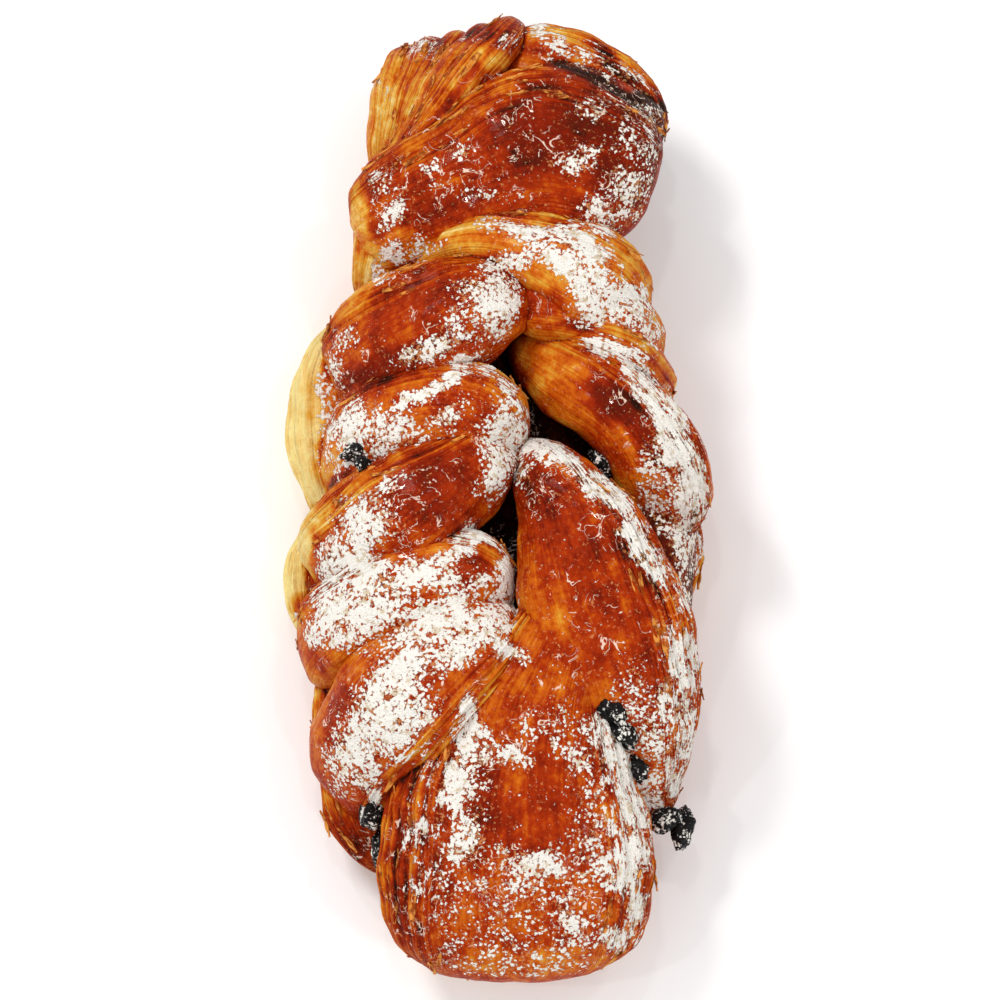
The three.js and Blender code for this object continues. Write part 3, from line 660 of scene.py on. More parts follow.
def mesh_of(name, points, quads, triangles=()):
    """A mesh in metres from points in millimetres."""
    triangles = np.array(triangles, int).reshape(-1, 3)
    corners = np.concatenate([quads.ravel(), triangles.ravel()])
    starts = np.concatenate([4 * np.arange(len(quads)), 4 * len(quads) + 3 * np.arange(len(triangles))])
    mesh = bpy.data.meshes.new(name)
    mesh.vertices.add(len(points))
    mesh.vertices.foreach_set("co", (points * MM).astype(np.float32).ravel())
    mesh.loops.add(len(corners))
    mesh.loops.foreach_set("vertex_index", corners.astype(np.int32))
    mesh.polygons.add(len(starts))
    mesh.polygons.foreach_set("loop_start", starts.astype(np.int32))
    mesh.update(calc_edges=True)
    return mesh


def fold_part(name, mesh, number, uv=None):
    """An object for the joining, with its number on its faces and room for the ply map."""
    layer = mesh.uv_layers.new(name=PLY_MAP)
    if uv is not None:
        layer.data.foreach_set("uv", uv.astype(np.float32).ravel())
    faces = mesh.attributes.new(FOLD_FACES, "INT", "FACE")
    faces.data.foreach_set("value", np.full(len(mesh.polygons), number, np.int32))
    return bpy.data.objects.new(name, mesh)


def grid(x, y):
    """The x and the y of each point of a grid, as one row each."""
    return (g.ravel() for g in np.meshgrid(x, y, indexing="ij"))


def grid_quads(rows, columns):
    """The quads between the points of a grid."""
    i, j = grid(np.arange(rows - 1), np.arange(columns - 1))
    a = i * columns + j
    b = a + columns
    return np.stack([a, b, b + 1, a + 1], 1)


def fold_object(name, number, f, step):
    """One closed fold, with t and angle as its ply map and its number on its faces."""
    points, tips, t, angle = fold_surface(f, step)
    rings, around = points.shape[:2]
    i, j = grid(np.arange(rings - 1), np.arange(around))
    k = (j + 1) % around
    quads = np.stack([i * around + j, (i + 1) * around + j, (i + 1) * around + k, i * around + k], 1)
    j, k = np.arange(around), (np.arange(around) + 1) % around
    first, last = rings * around, (rings - 1) * around
    caps = np.concatenate([
        np.stack([first + 0 * j, j, k], 1),
        np.stack([first + 1 + 0 * j, last + k, last + j], 1)])
    points = np.vstack([points.reshape(-1, 3), tips]) + FOLD_ORIGIN
    closed = np.append(angle, angle[0] + 360)
    qi, qj = np.divmod(np.arange(len(quads)), around)
    quad_t = np.stack([t[qi], t[qi + 1], t[qi + 1], t[qi]], 1)
    quad_angle = np.stack([closed[qj], closed[qj], closed[qj + 1], closed[qj + 1]], 1)
    cap_t = np.concatenate([
        np.tile([0, t[0], t[0]], (around, 1)), np.tile([1, t[-1], t[-1]], (around, 1))])
    a, b = closed[:-1], closed[1:]
    cap_angle = np.concatenate([np.stack([a, a, b], 1), np.stack([a, b, a], 1)])
    uv = np.stack([
        np.concatenate([quad_t.ravel(), cap_t.ravel()]),
        np.concatenate([quad_angle.ravel(), cap_angle.ravel()])], 1)
    return fold_part(name, mesh_of(name, points, quads, caps), number, uv)


def boolean(target, operation, others):
    """A new mesh: target joined with or cut by the others, which are then removed with it."""
    group = bpy.data.collections.new("boolean")
    for other in others:
        group.objects.link(other)
    bpy.context.scene.collection.objects.link(target)
    modifier = target.modifiers.new("boolean", "BOOLEAN")
    modifier.operation = operation
    modifier.operand_type = "COLLECTION"
    modifier.collection = group
    modifier.solver = "MANIFOLD"
    evaluated = target.evaluated_get(bpy.context.evaluated_depsgraph_get())
    mesh = bpy.data.meshes.new_from_object(evaluated)
    for one in [target, *others]:
        bpy.data.objects.remove(one)
    bpy.data.collections.remove(group)
    return mesh


def read(data, field, width=1, kind=np.float32):
    """A mesh's data as an array of rows."""
    values = np.zeros(len(data) * width, kind)
    data.foreach_get(field, values)
    return values.reshape(-1, width) if width > 1 else values


def read_whole(data, field, width=1):
    """A mesh's whole numbers as an array of rows."""
    return read(data, field, width, np.int32)


def outer_shell(mesh):
    """Keeps the largest connected shell, so that trapped air between folds is filled."""
    edges = read_whole(mesh.edges, "vertices", 2)
    label = np.arange(len(mesh.vertices))
    while True:
        low = np.minimum(label[edges[:, 0]], label[edges[:, 1]])
        fresh = label.copy()
        np.minimum.at(fresh, edges[:, 0], low)
        np.minimum.at(fresh, edges[:, 1], low)
        fresh = fresh[fresh]
        if (fresh == label).all():
            break
        label = fresh
    main = np.bincount(label).argmax()
    b = bmesh.new()
    b.from_mesh(mesh)
    b.verts.ensure_lookup_table()
    loose = [v for v, kept in zip(b.verts, label == main) if not kept]
    bmesh.ops.delete(b, geom=loose, context="VERTS")
    b.to_mesh(mesh)
    b.free()


def seen(points):
    """Where points in millimetres show for the camera: right and up on the plane through its target."""
    c, s = turn_of(CAMERA_ELEVATION)
    back = np.array([0, -c, s])
    up = np.array([0, s, c])
    away = points - CAMERA_TARGET
    scale = CAMERA_DISTANCE / (CAMERA_DISTANCE - away @ back)
    return np.stack([away[:, 0] * scale, away @ up * scale], 1)


def patch_weight(place, patch, edge):
    """How much a patch covers each place, from 0 to 1."""
    u, v, long, wide, turn, _ = patch
    c, s = turn_of(turn)
    along = (place[:, 0] - u) * c + (place[:, 1] - v) * s
    across = (place[:, 1] - v) * c - (place[:, 0] - u) * s
    reach, soft = edge
    return smooth(reach - np.hypot(along / long, across / wide), 0, soft)


def vertex_mean(mesh, values):
    """The mean of values on corners, for each vertex."""
    vertex = read_whole(mesh.loops, "vertex_index")
    total = np.bincount(vertex, values, len(mesh.vertices))
    return total / np.maximum(1, np.bincount(vertex, minlength=len(mesh.vertices)))


def hollow_depth(mesh, points, rounds):
    """How far each vertex lies under its smoothed surroundings, in millimetres. Ridges are below 0."""
    a, b = read_whole(mesh.edges, "vertices", 2).T
    count = np.bincount(a, minlength=len(points)) + np.bincount(b, minlength=len(points))
    normals = read(mesh.vertex_normals, "vector", 3).astype(float)
    mean = points
    for _ in range(rounds):
        around = [
            np.bincount(a, mean[b, k], len(points)) + np.bincount(b, mean[a, k], len(points))
            for k in range(3)]
        mean = (1 - SMOOTHING) * mean + SMOOTHING * np.stack(around, 1) / count[:, None]
    return ((mean - points) * normals).sum(1)


def ply_run(mesh, points, plies):
    """The direction in which each vertex's ply runs, from how the ply map lies on its faces."""
    start = read_whole(mesh.polygons, "loop_start")
    vertex = read_whole(mesh.loops, "vertex_index")
    corner, second, third = (points[vertex[start + k]] for k in range(3))
    run = [plies[start + k, :1] for k in range(3)]
    one, two = second - corner, third - corner
    normal = np.cross(one, two)
    slope = (run[1] - run[0]) * np.cross(two, normal) + (run[2] - run[0]) * np.cross(normal, one)
    slope /= np.linalg.norm(slope, axis=1, keepdims=True) + CURVE_STEP
    spread = np.repeat(slope, read_whole(mesh.polygons, "loop_total"), axis=0)
    total = np.stack([np.bincount(vertex, spread[:, k], len(points)) for k in range(3)], 1)
    return total / (np.linalg.norm(total, axis=1, keepdims=True) + CURVE_STEP)


def corner_values(uv, number, folds, plies):
    """For each corner of the joined dough: its place on the ply map in millimetres, how layered it
    is and how dark its fold baked. The tray's corners keep the values of plies."""
    layered = np.zeros(len(uv))
    bake = np.full(len(uv), UNDERSIDE_BAKE)
    outside, within = LAYERS_FADE
    for n, f in enumerate(folds):
        mine = number == n
        t, angle = uv[mine, 0], uv[mine, 1]
        radius = f["stations"][:, 3:5].mean() / 2
        plies[mine, 0] = t * run_length(f) + MAP_SHIFT[0] * n
        plies[mine, 1] = np.radians(angle) * radius + MAP_SHIFT[1] * n
        flank = FLANK_PLIES * np.cos(np.radians(angle)) ** 2
        for start, end, _, _ in f["layers"]:
            inside = (
                smooth(angle, start - outside, start + within)
                * smooth(-angle, -end - outside, -end + within))
            flank = np.maximum(flank, inside)
        layered[mine] = flank
        bake[mine] = f["bake"]
    return plies, layered, bake


def dress_surface(mesh, folds):
    """Gives the joined dough its ply map in millimetres and its layered, bake and sugar values. The bake
    values also hold painted shade in the creases, in the pit and at the feet of the ply ledges.
    """
    vertex = read_whole(mesh.loops, "vertex_index")
    sides = read_whole(mesh.polygons, "loop_total")
    number = np.repeat(read_whole(mesh.attributes[FOLD_FACES].data, "value"), sides)
    points = read(mesh.vertices, "co", 3).astype(float) / MM
    upward = read(mesh.vertex_normals, "vector", 3).astype(float)[:, 2]
    map_layer = mesh.uv_layers[PLY_MAP].data
    plies, layered, bake = corner_values(
        read(map_layer, "uv", 2).astype(float), number, folds, points[vertex][:, :2].copy())
    map_layer.foreach_set("uv", plies.astype(np.float32).ravel())

    place = seen(points)
    warp, fine = (
        np.stack([lattice_noise(points, size, seed + k) for k in range(2)], 1)
        for size, seed in EDGE_NOISE)

    def bent(bend):
        return place + bend[0] * warp + bend[1] * fine

    bake = vertex_mean(mesh, bake)
    plied = vertex_mean(mesh, layered)
    bent_place = bent(BAKE_BEND)
    for patch in BAKE_PATCHES:
        bake = toward(bake, patch_weight(bent_place, patch, PATCH_EDGE), patch[5])
    low = (1 - smooth(points[:, 2], *LOW_SIDE)) * (1 - smooth(upward, *STEEP))
    low *= LOW_WHERE_PALE + (1 - LOW_WHERE_PALE) * smooth(bake, *STAYED_PALE)
    bake = toward(bake, low, *LOW_SIDE_BAKE)
    crease = smooth(hollow_depth(mesh, points, CREASE_ROUNDS), *CREASE)
    depth = hollow_depth(mesh, points, LEDGE_ROUNDS)
    # Painted shade: the deep creases are darkened toward burnt
    bake = toward(bake, crease, *CREASE_SHADE)
    plied *= smooth(bake, *PLIES_SHOW)
    feet, tops = smooth(depth, *LEDGE_FOOT), smooth(-depth, *LEDGE_TOP)
    # Painted shade: the hollow at the foot of each ply's ledge is darkened
    bake += plied * (PLY_BAKE + LEDGE_FOOT_SHADE * feet - LEDGE_TOP_BAKE * tops)
    x, y, z = (points - FOLD_ORIGIN).T
    inside = (
        (1 - smooth(np.abs(x - PIT_MIDDLE), *PIT_WIDE))
        * (1 - smooth(np.abs(y - PIT_MIDDLE), *PIT_LONG)))
    pit = inside * (1 - smooth(z + PIT_UNEVEN * warp[:, 0], *PIT_TOP))
    # Painted shade: the slit between the ropes is painted as dark as burnt crust
    bake = toward(bake, pit, *PIT_SHADE)

    sugar = np.full(len(points), LOOSE_SUGAR)
    bent_place = bent(SUGAR_BEND)
    for patch in SUGAR_PATCHES:
        cover = patch_weight(bent_place, patch, SUGAR_EDGE)
        sugar = np.maximum(sugar, min(patch[5], THICK_SUGAR) * cover)
    bent_place = bent(BARE_BEND)
    for patch in BARE_PATCHES:
        sugar = toward(sugar, patch_weight(bent_place, patch, PATCH_EDGE), patch[5])
    sugar *= smooth(upward, *FACES_UP) * (1 - pit) * (1 - HIDDEN_IN_CREASE * crease)
    bake = toward(bake, smooth(sugar, *SUGARED), *SUGARED_BAKE)

    under = number == len(folds)
    values = {LAYERED: (layered, 0), BAKE: (bake[vertex], UNDERSIDE_BAKE), SUGAR: (sugar[vertex], 0)}
    for name, (on_corners, below) in values.items():
        on_corners[under] = below
        layer = mesh.attributes.new(name, "FLOAT", "CORNER")
        layer.data.foreach_set("value", on_corners.astype(np.float32))
    layer = mesh.attributes.new(PLY_RUN, "FLOAT_VECTOR", "POINT")
    layer.data.foreach_set("vector", ply_run(mesh, points, plies).astype(np.float32).ravel())


def all_folds():
    """Every fold, with the fan of the far end opened out between its first and its last rib."""
    folds = list(FOLDS.values())
    for w in np.arange(FAN_COUNT) / (FAN_COUNT - 1):
        both = {
            key: (1 - w) * np.array(FAN_FIRST[key]) + w * np.array(FAN_LAST[key])
            for key in ("heading", "stations")}
        folds.append({**FAN_FIRST, **both, "bake": FAN_BAKE[0] + FAN_BAKE[1] * w})
    return folds


def tray_object(number):
    """What the tray takes away: all below z = 0 and the shallow hollows where the crust lifted."""
    x, y = (np.arange(-half, half + TRAY_STEP, TRAY_STEP) for half in TRAY_HALF)
    across, along = grid(x, y)
    flat = np.stack([across, along, 0 * across], 1)
    lift = sum(high * lattice_noise(flat, wide, seed) for high, wide, seed in TRAY_LIFT)
    top = flat + np.array([0, 0, 1]) * np.clip(lift, 0, HIGHEST_LIFT)[:, None]
    low = flat - np.array([0, 0, TRAY_DEPTH])
    upper = grid_quads(len(x), len(y))
    lower = upper[:, [0, 3, 2, 1]] + len(top)
    index = np.arange(len(top)).reshape(len(x), len(y))
    rim = np.concatenate([index[:, 0], index[-1, 1:], index[-2::-1, -1], index[0, -2:0:-1]])
    after = np.roll(rim, -1)
    walls = np.stack([rim + len(top), after + len(top), after, rim], 1)
    mesh = mesh_of("tray", np.vstack([top, low]), np.vstack([upper, lower, walls]))
    return fold_part("tray", mesh, number)


def finish_piece(name, mesh, material):
    """Puts a piece into the scene, riding on the part's body and standing for its one node."""
    mesh.name = name
    mesh.materials.clear()
    mesh.materials.append(material)
    piece = bpy.data.objects.new(name, mesh)
    bpy.context.scene.collection.objects.link(piece)
    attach(piece, BODY)
    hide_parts(NODE)


def remove_old(name):
    old = bpy.data.objects.get(name)
    if old:
        bpy.data.objects.remove(old)


def linear(red, green, blue):
    """A colour as seen on a screen, 0 to 255, as the linear colour that shaders take."""
    values = [c / 255 for c in (red, green, blue)]
    return tuple(c / 12.92 if c <= 0.04045 else ((c + 0.055) / 1.055) ** 2.4 for c in values)


class Graph:
    """Short calls that add nodes to a material's tree or to a geometry tree."""

    def __init__(self, tree):
        self.tree = tree
        self.geometry = tree.type == "GEOMETRY"

    def put(self, socket, value):
        if isinstance(value, bpy.types.NodeSocket):
            self.tree.links.new(value, socket)
        elif socket.type == "RGBA" and len(value) == 3:
            socket.default_value = (*value, 1)
        else:
            socket.default_value = value

    def node(self, kind, inputs=(), **settings):
        made = self.tree.nodes.new(kind)
        for key, value in settings.items():
            setattr(made, key, value)
        for key, value in dict(inputs).items():
            self.put(made.inputs[key], value)
        return made

    def out(self, kind, inputs=(), output=0, **settings):
        """One output of a new node."""
        return self.node(kind, inputs, **settings).outputs[output]

    def field(self, name, kind="FLOAT"):
        """A value that the surface carries under the name."""
        if self.geometry:
            return self.out("GeometryNodeInputNamedAttribute", {"Name": name}, data_type=kind)
        return self.out("ShaderNodeAttribute", output="Fac", attribute_name=name)

    def place(self):
        if self.geometry:
            return self.out("GeometryNodeInputPosition")
        return self.out("ShaderNodeTexCoord", output="Object")

    def plies(self):
        """The ply map: along the fold and round it, in millimetres."""
        if self.geometry:
            return self.field(PLY_MAP, "FLOAT_VECTOR")
        return self.out("ShaderNodeUVMap", uv_map=PLY_MAP)

    def math(self, operation, *values):
        return self.out("ShaderNodeMath", enumerate(values), operation=operation)

    def add(self, first, *others):
        for one in others:
            first = self.math("ADD", first, one)
        return first

    def times(self, first, *others):
        for one in others:
            first = self.math("MULTIPLY", first, one)
        return first

    def minus(self, a, b):
        return self.math("SUBTRACT", a, b)

    def vector(self, x, y, z):
        return self.out("ShaderNodeCombineXYZ", {0: x, 1: y, 2: z})

    def scaled(self, vector, factor):
        return self.out("ShaderNodeVectorMath", {0: vector, "Scale": factor}, operation="SCALE")

    def stretched(self, vector, factors):
        """The vector with each of its three numbers scaled by its own factor."""
        return self.out("ShaderNodeVectorMath", {0: vector, 1: factors}, operation="MULTIPLY")

    def turned(self, vector):
        """The vector turned a little about every axis, so that no noise lies square to the part."""
        inputs = {"Vector": vector, "Rotation": NOISE_TURN}
        return self.out("ShaderNodeVectorRotate", inputs, rotation_type="EULER_XYZ")

    def step(self, value, low, high, to_low=0.0, to_high=1.0):
        """A soft step from one value to another."""
        inputs = {"Value": value, "From Min": low, "From Max": high, "To Min": to_low, "To Max": to_high}
        return self.out("ShaderNodeMapRange", inputs, interpolation_type="SMOOTHSTEP")

    def blend(self, factor, a, b):
        return self.add(a, self.times(factor, self.minus(b, a)))

    def colours(self, factor, a, b):
        return self.out("ShaderNodeMix", {0: factor, 6: a, 7: b}, 2, data_type="RGBA")

    def noise(self, vector, size, detail=3.0, rough=0.55, distort=0.0):
        """Noise with lumps of a size in the units of the vector. It runs from 0 to 1."""
        return self.out("ShaderNodeTexNoise", {
            "Vector": vector, "Scale": 1 / size, "Detail": detail, "Roughness": rough,
            "Distortion": distort})

    def ripple(self, vector, size, **settings):
        """Noise with a mean of 0 and a spread of about 1."""
        return self.times(self.minus(self.noise(vector, size, **settings), 0.5), NOISE_GAIN)

    def ply_ripple(self, scales, **settings):
        """A ripple on the ply map, scaled along the fold and across it."""
        return self.ripple(self.turned(self.stretched(self.plies(), (*scales, 1))), 1.0, **settings)

    def grains(self, vector, size):
        """Round lumps in a random scatter, with a mean of 0 and a spread of about 1."""
        far = self.out("ShaderNodeTexVoronoi", {"Vector": vector, "Scale": 1 / size}, "Distance")
        return self.times(self.minus(GRAIN_MEAN, far), GRAIN_GAIN)

    def ramp(self, factor, stops):
        made = self.node("ShaderNodeValToRGB", {"Fac": factor})
        elements = made.color_ramp.elements
        while len(elements) < len(stops):
            elements.new(0.5)
        for element, (where, colour) in zip(elements, stops):
            element.position = where
            element.color = (*colour, 1)
        return made.outputs[0]

    def bump(self, height_mm):
        return self.out("ShaderNodeBump", {"Height": height_mm, "Distance": MM})

    def random(self, kind, low, high, seed):
        """A random FLOAT or FLOAT_VECTOR for each point."""
        first = 2 if kind == "FLOAT" else 0
        inputs = {first: low, first + 1: high, "Seed": seed}
        return self.out("FunctionNodeRandomValue", inputs, first // 2, data_type=kind)


def new_material(name, paint):
    """A material whose surface takes the inputs that paint gives for its graph."""
    material = bpy.data.materials.new(name)
    material.use_nodes = True
    g = Graph(material.node_tree)
    shader = g.tree.nodes["Principled BSDF"]
    for socket, value in paint(g).items():
        g.put(shader.inputs[socket], value)
    return material


def sugar_mask(g):
    """Where icing sugar lies, 0 or 1 with a narrow edge: fine crumbly specks that follow the plies."""
    place, sugar = g.turned(g.place()), g.field(SUGAR)
    specks = g.ripple(place, SPECKS, detail=4, rough=0.7)
    clumps = g.ripple(place, CLUMPS, detail=1)
    streaks = g.ply_ripple(STREAKS, rough=0.75)
    loose = g.add(g.times(specks, SPECK_SHARE), g.times(g.grains(place, GRAINS), GRAIN_SHARE))
    plied = g.blend(g.times(g.field(LAYERED), STREAK_SHARE), loose, streaks)
    edge = g.add(g.times(g.minus(0.5, sugar), SUGAR_SPREAD), g.step(sugar, *NO_SUGAR))
    return g.step(g.minus(g.add(plied, g.times(clumps, CLUMP_SHARE)), edge), *SPECK_EDGE)


def crust_material(dough, sugar):
    """Egg-washed laminated crust with its icing sugar, with painted shade from the bake field in its
    creases and painted highlights on its wrinkles and flecks.
    """

    def paint(g):
        place = g.turned(g.place())
        layered, bake = g.field(LAYERED), g.field(BAKE)

        # How deeply it baked: uneven over a few millimetres, and different from ply to ply. The bake field
        # also holds painted shade in creases, in the pit and at the feet of ply ledges
        sheets = g.ply_ripple(SHEETS, rough=0.6, distort=0.3)
        bands = g.ply_ripple(BANDS, detail=1)
        fibres = g.ply_ripple(FIBRES, detail=2, rough=0.6)
        mottle = g.ripple(place, MOTTLE)
        blister = g.ripple(place, BLISTERS, rough=0.6)
        uneven = g.times(
            g.add(mottle, g.times(blister, BLISTER_SHARE), g.times(fibres, FIBRE_SHARE)),
            g.step(bake, *UNEVEN_IF_PALE), g.step(bake, *UNEVEN_IF_DARK), dough.mottle)
        plies = g.times(
            g.add(sheets, g.times(bands, BAND_SHARE)),
            layered, g.step(bake, *PLIES_IF_PALE), dough.ply_contrast)
        shades = (
            dough.pale, dough.golden, dough.orange, dough.red, dough.dark, dough.brown, dough.burnt)
        crust = g.ramp(g.add(bake, uneven, plies), list(zip(BAKE_STOPS, shades)))

        # Fine wrinkles where the egg wash drew up, with a painted highlight along them; pale flecks, which
        # are painted highlights on blisters and partly a dust of sugar; and the icing sugar over both
        ridge = g.math("ABSOLUTE", g.ripple(place, WRINKLES, detail=2.5, distort=1.6))
        drawn_up = g.times(
            g.step(g.ripple(place, WRINKLED_PLACES, detail=1), *WRINKLED_PLACE_EDGE),
            g.step(g.ripple(place, WRINKLED_SPOTS, detail=1), *WRINKLED_SPOT_EDGE),
            g.step(bake, *WRINKLED_BAKE))
        mask = sugar_mask(g)
        bare = g.minus(1.0, mask)
        wrinkle = g.times(g.step(ridge, *WRINKLE_LINE), drawn_up, bare)
        # Pale flecks: painted highlights on the blisters, with more of them near the sugar as its dust
        dust = g.add(g.ripple(place, FLECK_SIZE, rough=0.7), g.times(g.field(SUGAR), DUST_PER_SUGAR))
        fleck_dust_and_highlight = g.times(g.step(dust, *FLECK_EDGE), g.step(mottle, *FLECK_IF_DARK))
        flecked = g.colours(fleck_dust_and_highlight, crust, dough.fleck_dust_and_highlight)
        # Painted highlight: the wrinkles' lines take a near-white colour
        highlighted = g.colours(g.times(wrinkle, WRINKLE_HIGHLIGHT_SHARE), flecked, dough.wrinkle_highlight)
        thick = g.step(g.ripple(place, THIN_SPOTS, detail=2), *THIN_EDGE)
        powder = g.colours(thick, sugar.thin, sugar.colour)

        gloss = g.step(bake, *GLOSSY_BAKE, PALE_GLOSS, dough.gloss)
        height = g.add(
            g.times(wrinkle, dough.wrinkle / MM),
            g.times(blister, BLISTER_HEIGHT),
            g.times(g.ripple(place, PORES, detail=2), PORE_HEIGHT),
            g.times(sheets, layered, SHEET_HEIGHT),
            g.times(fibres, FIBRE_HEIGHT),
            g.times(mask, g.ripple(place, POWDER, detail=2), POWDER_HEIGHT),
            g.times(mask, SUGAR_HEIGHT))
        return {
            "Base Color": g.colours(mask, highlighted, powder),
            "Roughness": g.blend(mask, g.step(blister, *BLISTER_SPREAD, *CRUST_ROUGH), POWDER_ROUGH),
            "Coat Weight": g.add(g.times(gloss, bare), g.times(wrinkle, WRINKLE_GLOSS)),
            "Coat Roughness": 0.07,
            "Specular IOR Level": 0.025,
            "Normal": g.bump(height)}

    return new_material("baked_crust", paint)


def chocolate_material(chips, sugar):
    """Dark baked chocolate, dull where its fat bloomed, with a dusting on top."""

    def paint(g):
        place = g.turned(g.place())
        grain = g.ripple(place, CHIP_GRAIN, detail=4, rough=0.6)
        bloomed = g.step(g.ripple(place, CHIP_BLOOM), *CHIP_BLOOM_EDGE)
        powder = g.add(
            g.times(g.grains(place, CHIP_GRAIN), CHIP_CLUMP_SHARE),
            g.ripple(place, CHIP_DUST, detail=5, rough=0.8))
        dust = g.step(g.minus(powder, chips.bare), *CHIP_DUST_EDGE)
        return {
            "Base Color": g.colours(dust, g.colours(bloomed, chips.colour, chips.bloom), sugar.colour),
            "Roughness": g.blend(dust, g.step(grain, *ONE_SPREAD, *CHIP_ROUGH), POWDER_ROUGH),
            "Specular IOR Level": 0.16,
            "Normal": g.bump(g.add(g.times(grain, CHIP_HEIGHT), g.times(dust, CHIP_DUST_HEIGHT)))}

    return new_material("dark_chocolate", paint)


def sugar_material(sugar):
    """Icing sugar: white, dull and a little uneven in tone."""

    def paint(g):
        tone = g.step(g.noise(g.place(), SUGAR_TONE), *SUGAR_TONES)
        dim = tuple(DIM_SUGAR * c for c in sugar.colour)
        return {
            "Base Color": g.colours(tone, dim, sugar.colour),
            "Roughness": 0.85,
            "Normal": g.bump(g.times(g.noise(g.place(), SUGAR_GRAIN), GRAIN_HEIGHT))}

    return new_material("icing_sugar", paint)


def flake_material(flakes):
    """A thin dry ply: golden, browner in places, dull."""

    def paint(g):
        tone = g.ripple(g.turned(g.place()), FLAKE_TONE, detail=4, rough=0.6)
        return {
            "Base Color": g.colours(g.step(tone, *ONE_SPREAD), flakes.pale, flakes.tan),
            "Roughness": g.step(tone, *ONE_SPREAD, *FLAKE_ROUGH),
            "Specular IOR Level": 0.1,
            "Normal": g.bump(g.times(tone, FLAKE_HEIGHT))}

    return new_material("dry_flake", paint)


def floor_material(stage):
    """A pale matte table with a barely visible grain."""

    def paint(g):
        tone = g.noise(g.place(), FLOOR_GRAIN, detail=4)
        dim = tuple(DIM_FLOOR * c for c in stage.floor_colour)
        return {
            "Base Color": g.colours(tone, dim, stage.floor_colour),
            "Roughness": g.step(tone, *FLOOR_TONES, *FLOOR_ROUGH),
            "Specular IOR Level": 0.2}

    return new_material("pale_floor", paint)


def build_dough(dough, sugar):
    remove_old("twist_dough")
    folds = all_folds()
    step = dough.skin_step / MM
    skins = [fold_object(f"fold_{n}", n, f, step) for n, f in enumerate(folds)]
    joined = bpy.data.objects.new("joined", boolean(skins[0], "UNION", skins[1:]))
    mesh = boolean(joined, "DIFFERENCE", [tray_object(len(folds))])
    outer_shell(mesh)
    mesh.shade_smooth()
    dress_surface(mesh, folds)
    mesh.set_sharp_from_angle(angle=dough.crease_angle)
    finish_piece("twist_dough", mesh, crust_material(dough, sugar))


def lump(centre, half, turn, seed, rough):
    """Points and triangles of one broken lump of chocolate."""
    b = bmesh.new()
    bmesh.ops.create_icosphere(b, subdivisions=4, radius=1)
    points = np.array([v.co for v in b.verts])
    faces = np.array([[v.index for v in f.verts] for f in b.faces])
    b.free()
    rng = np.random.default_rng(seed)
    planes = unit(rng.normal(size=(CHIP_BREAKS, 3)))
    cut = (points @ planes.T / rng.uniform(*CHIP_BREAK_AT, CHIP_BREAKS)).max(1, keepdims=True)
    points = points / np.maximum(cut, CHIP_LEAST_CUT)
    coarse = lattice_noise(points * CHIP_COARSE + seed, CHIP_LUMP, seed)
    points *= 1 + rough * coarse[:, None]
    fine = lattice_noise(points * CHIP_FINE, CHIP_LUMP, seed + 1)
    points *= 1 + CHIP_FINE_SHARE * rough * fine[:, None]
    points = points * half
    c, s = turn_of(turn)
    points = points @ np.array([[c, s, 0], [-s, c, 0], [0, 0, 1]])
    return points + centre, faces


def build_chips(chips, sugar):
    remove_old("chips")
    points, faces, count = [], [], 0
    for n, chip in enumerate(CHIPS):
        centre = np.array(chip[:3]) + FOLD_ORIGIN
        half = np.array(chip[3:6]) * chips.swell
        corners, triangles = lump(centre, half, chip[6], n + CHIP_SEED, chips.lumps)
        points.append(corners)
        faces.append(triangles + count)
        count += len(corners)
    mesh = mesh_of("chips", np.vstack(points), np.zeros((0, 4), int), np.vstack(faces))
    mesh.shade_smooth()
    finish_piece("chips", mesh, chocolate_material(chips, sugar))


def geometry_tree(name, sockets):
    """An empty geometry tree with named inputs: name, kind, default."""
    tree = bpy.data.node_groups.new(name, "GeometryNodeTree")
    for way in ("INPUT", "OUTPUT"):
        tree.interface.new_socket("Geometry", in_out=way, socket_type="NodeSocketGeometry")
    for label, kind, default in sockets:
        socket = tree.interface.new_socket(label, in_out="INPUT", socket_type="NodeSocket" + kind)
        socket.default_value = default
    g = Graph(tree)
    return g, g.node("NodeGroupInput").outputs


def end_tree(g, points, instance, size, turn, material):
    """Sets an instance on every point, makes them real and gives them their material."""
    placed = g.out("GeometryNodeInstanceOnPoints", {
        "Points": points, "Instance": instance, "Scale": size, "Rotation": turn})
    real = g.out("GeometryNodeRealizeInstances", {"Geometry": placed})
    dressed = g.out("GeometryNodeSetMaterial", {"Geometry": real, "Material": material})
    g.node("NodeGroupOutput", {"Geometry": dressed})
    return g.tree


def scatter_on_dough(name, tree, values, material):
    """The plain mesh that a geometry tree scatters over the dough."""
    remove_old(name)
    dough = bpy.data.objects.get("twist_dough")
    if dough is None:
        raise RuntimeError("Build the dough before its " + name.replace("_", " "))
    maker = bpy.data.objects.new(name + "_maker", dough.data)
    bpy.context.scene.collection.objects.link(maker)
    modifier = maker.modifiers.new("scatter", "NODES")
    modifier.node_group = tree
    for item in tree.interface.items_tree:
        if item.in_out == "INPUT" and item.name in values:
            modifier[item.identifier] = values[item.name]
    evaluated = maker.evaluated_get(bpy.context.evaluated_depsgraph_get())
    mesh = bpy.data.meshes.new_from_object(evaluated)
    maker.modifiers.remove(modifier)
    bpy.data.objects.remove(maker)
    for layer in [a.name for a in mesh.attributes if not a.is_required and not a.is_internal]:
        mesh.attributes.remove(mesh.attributes[layer])
    return mesh


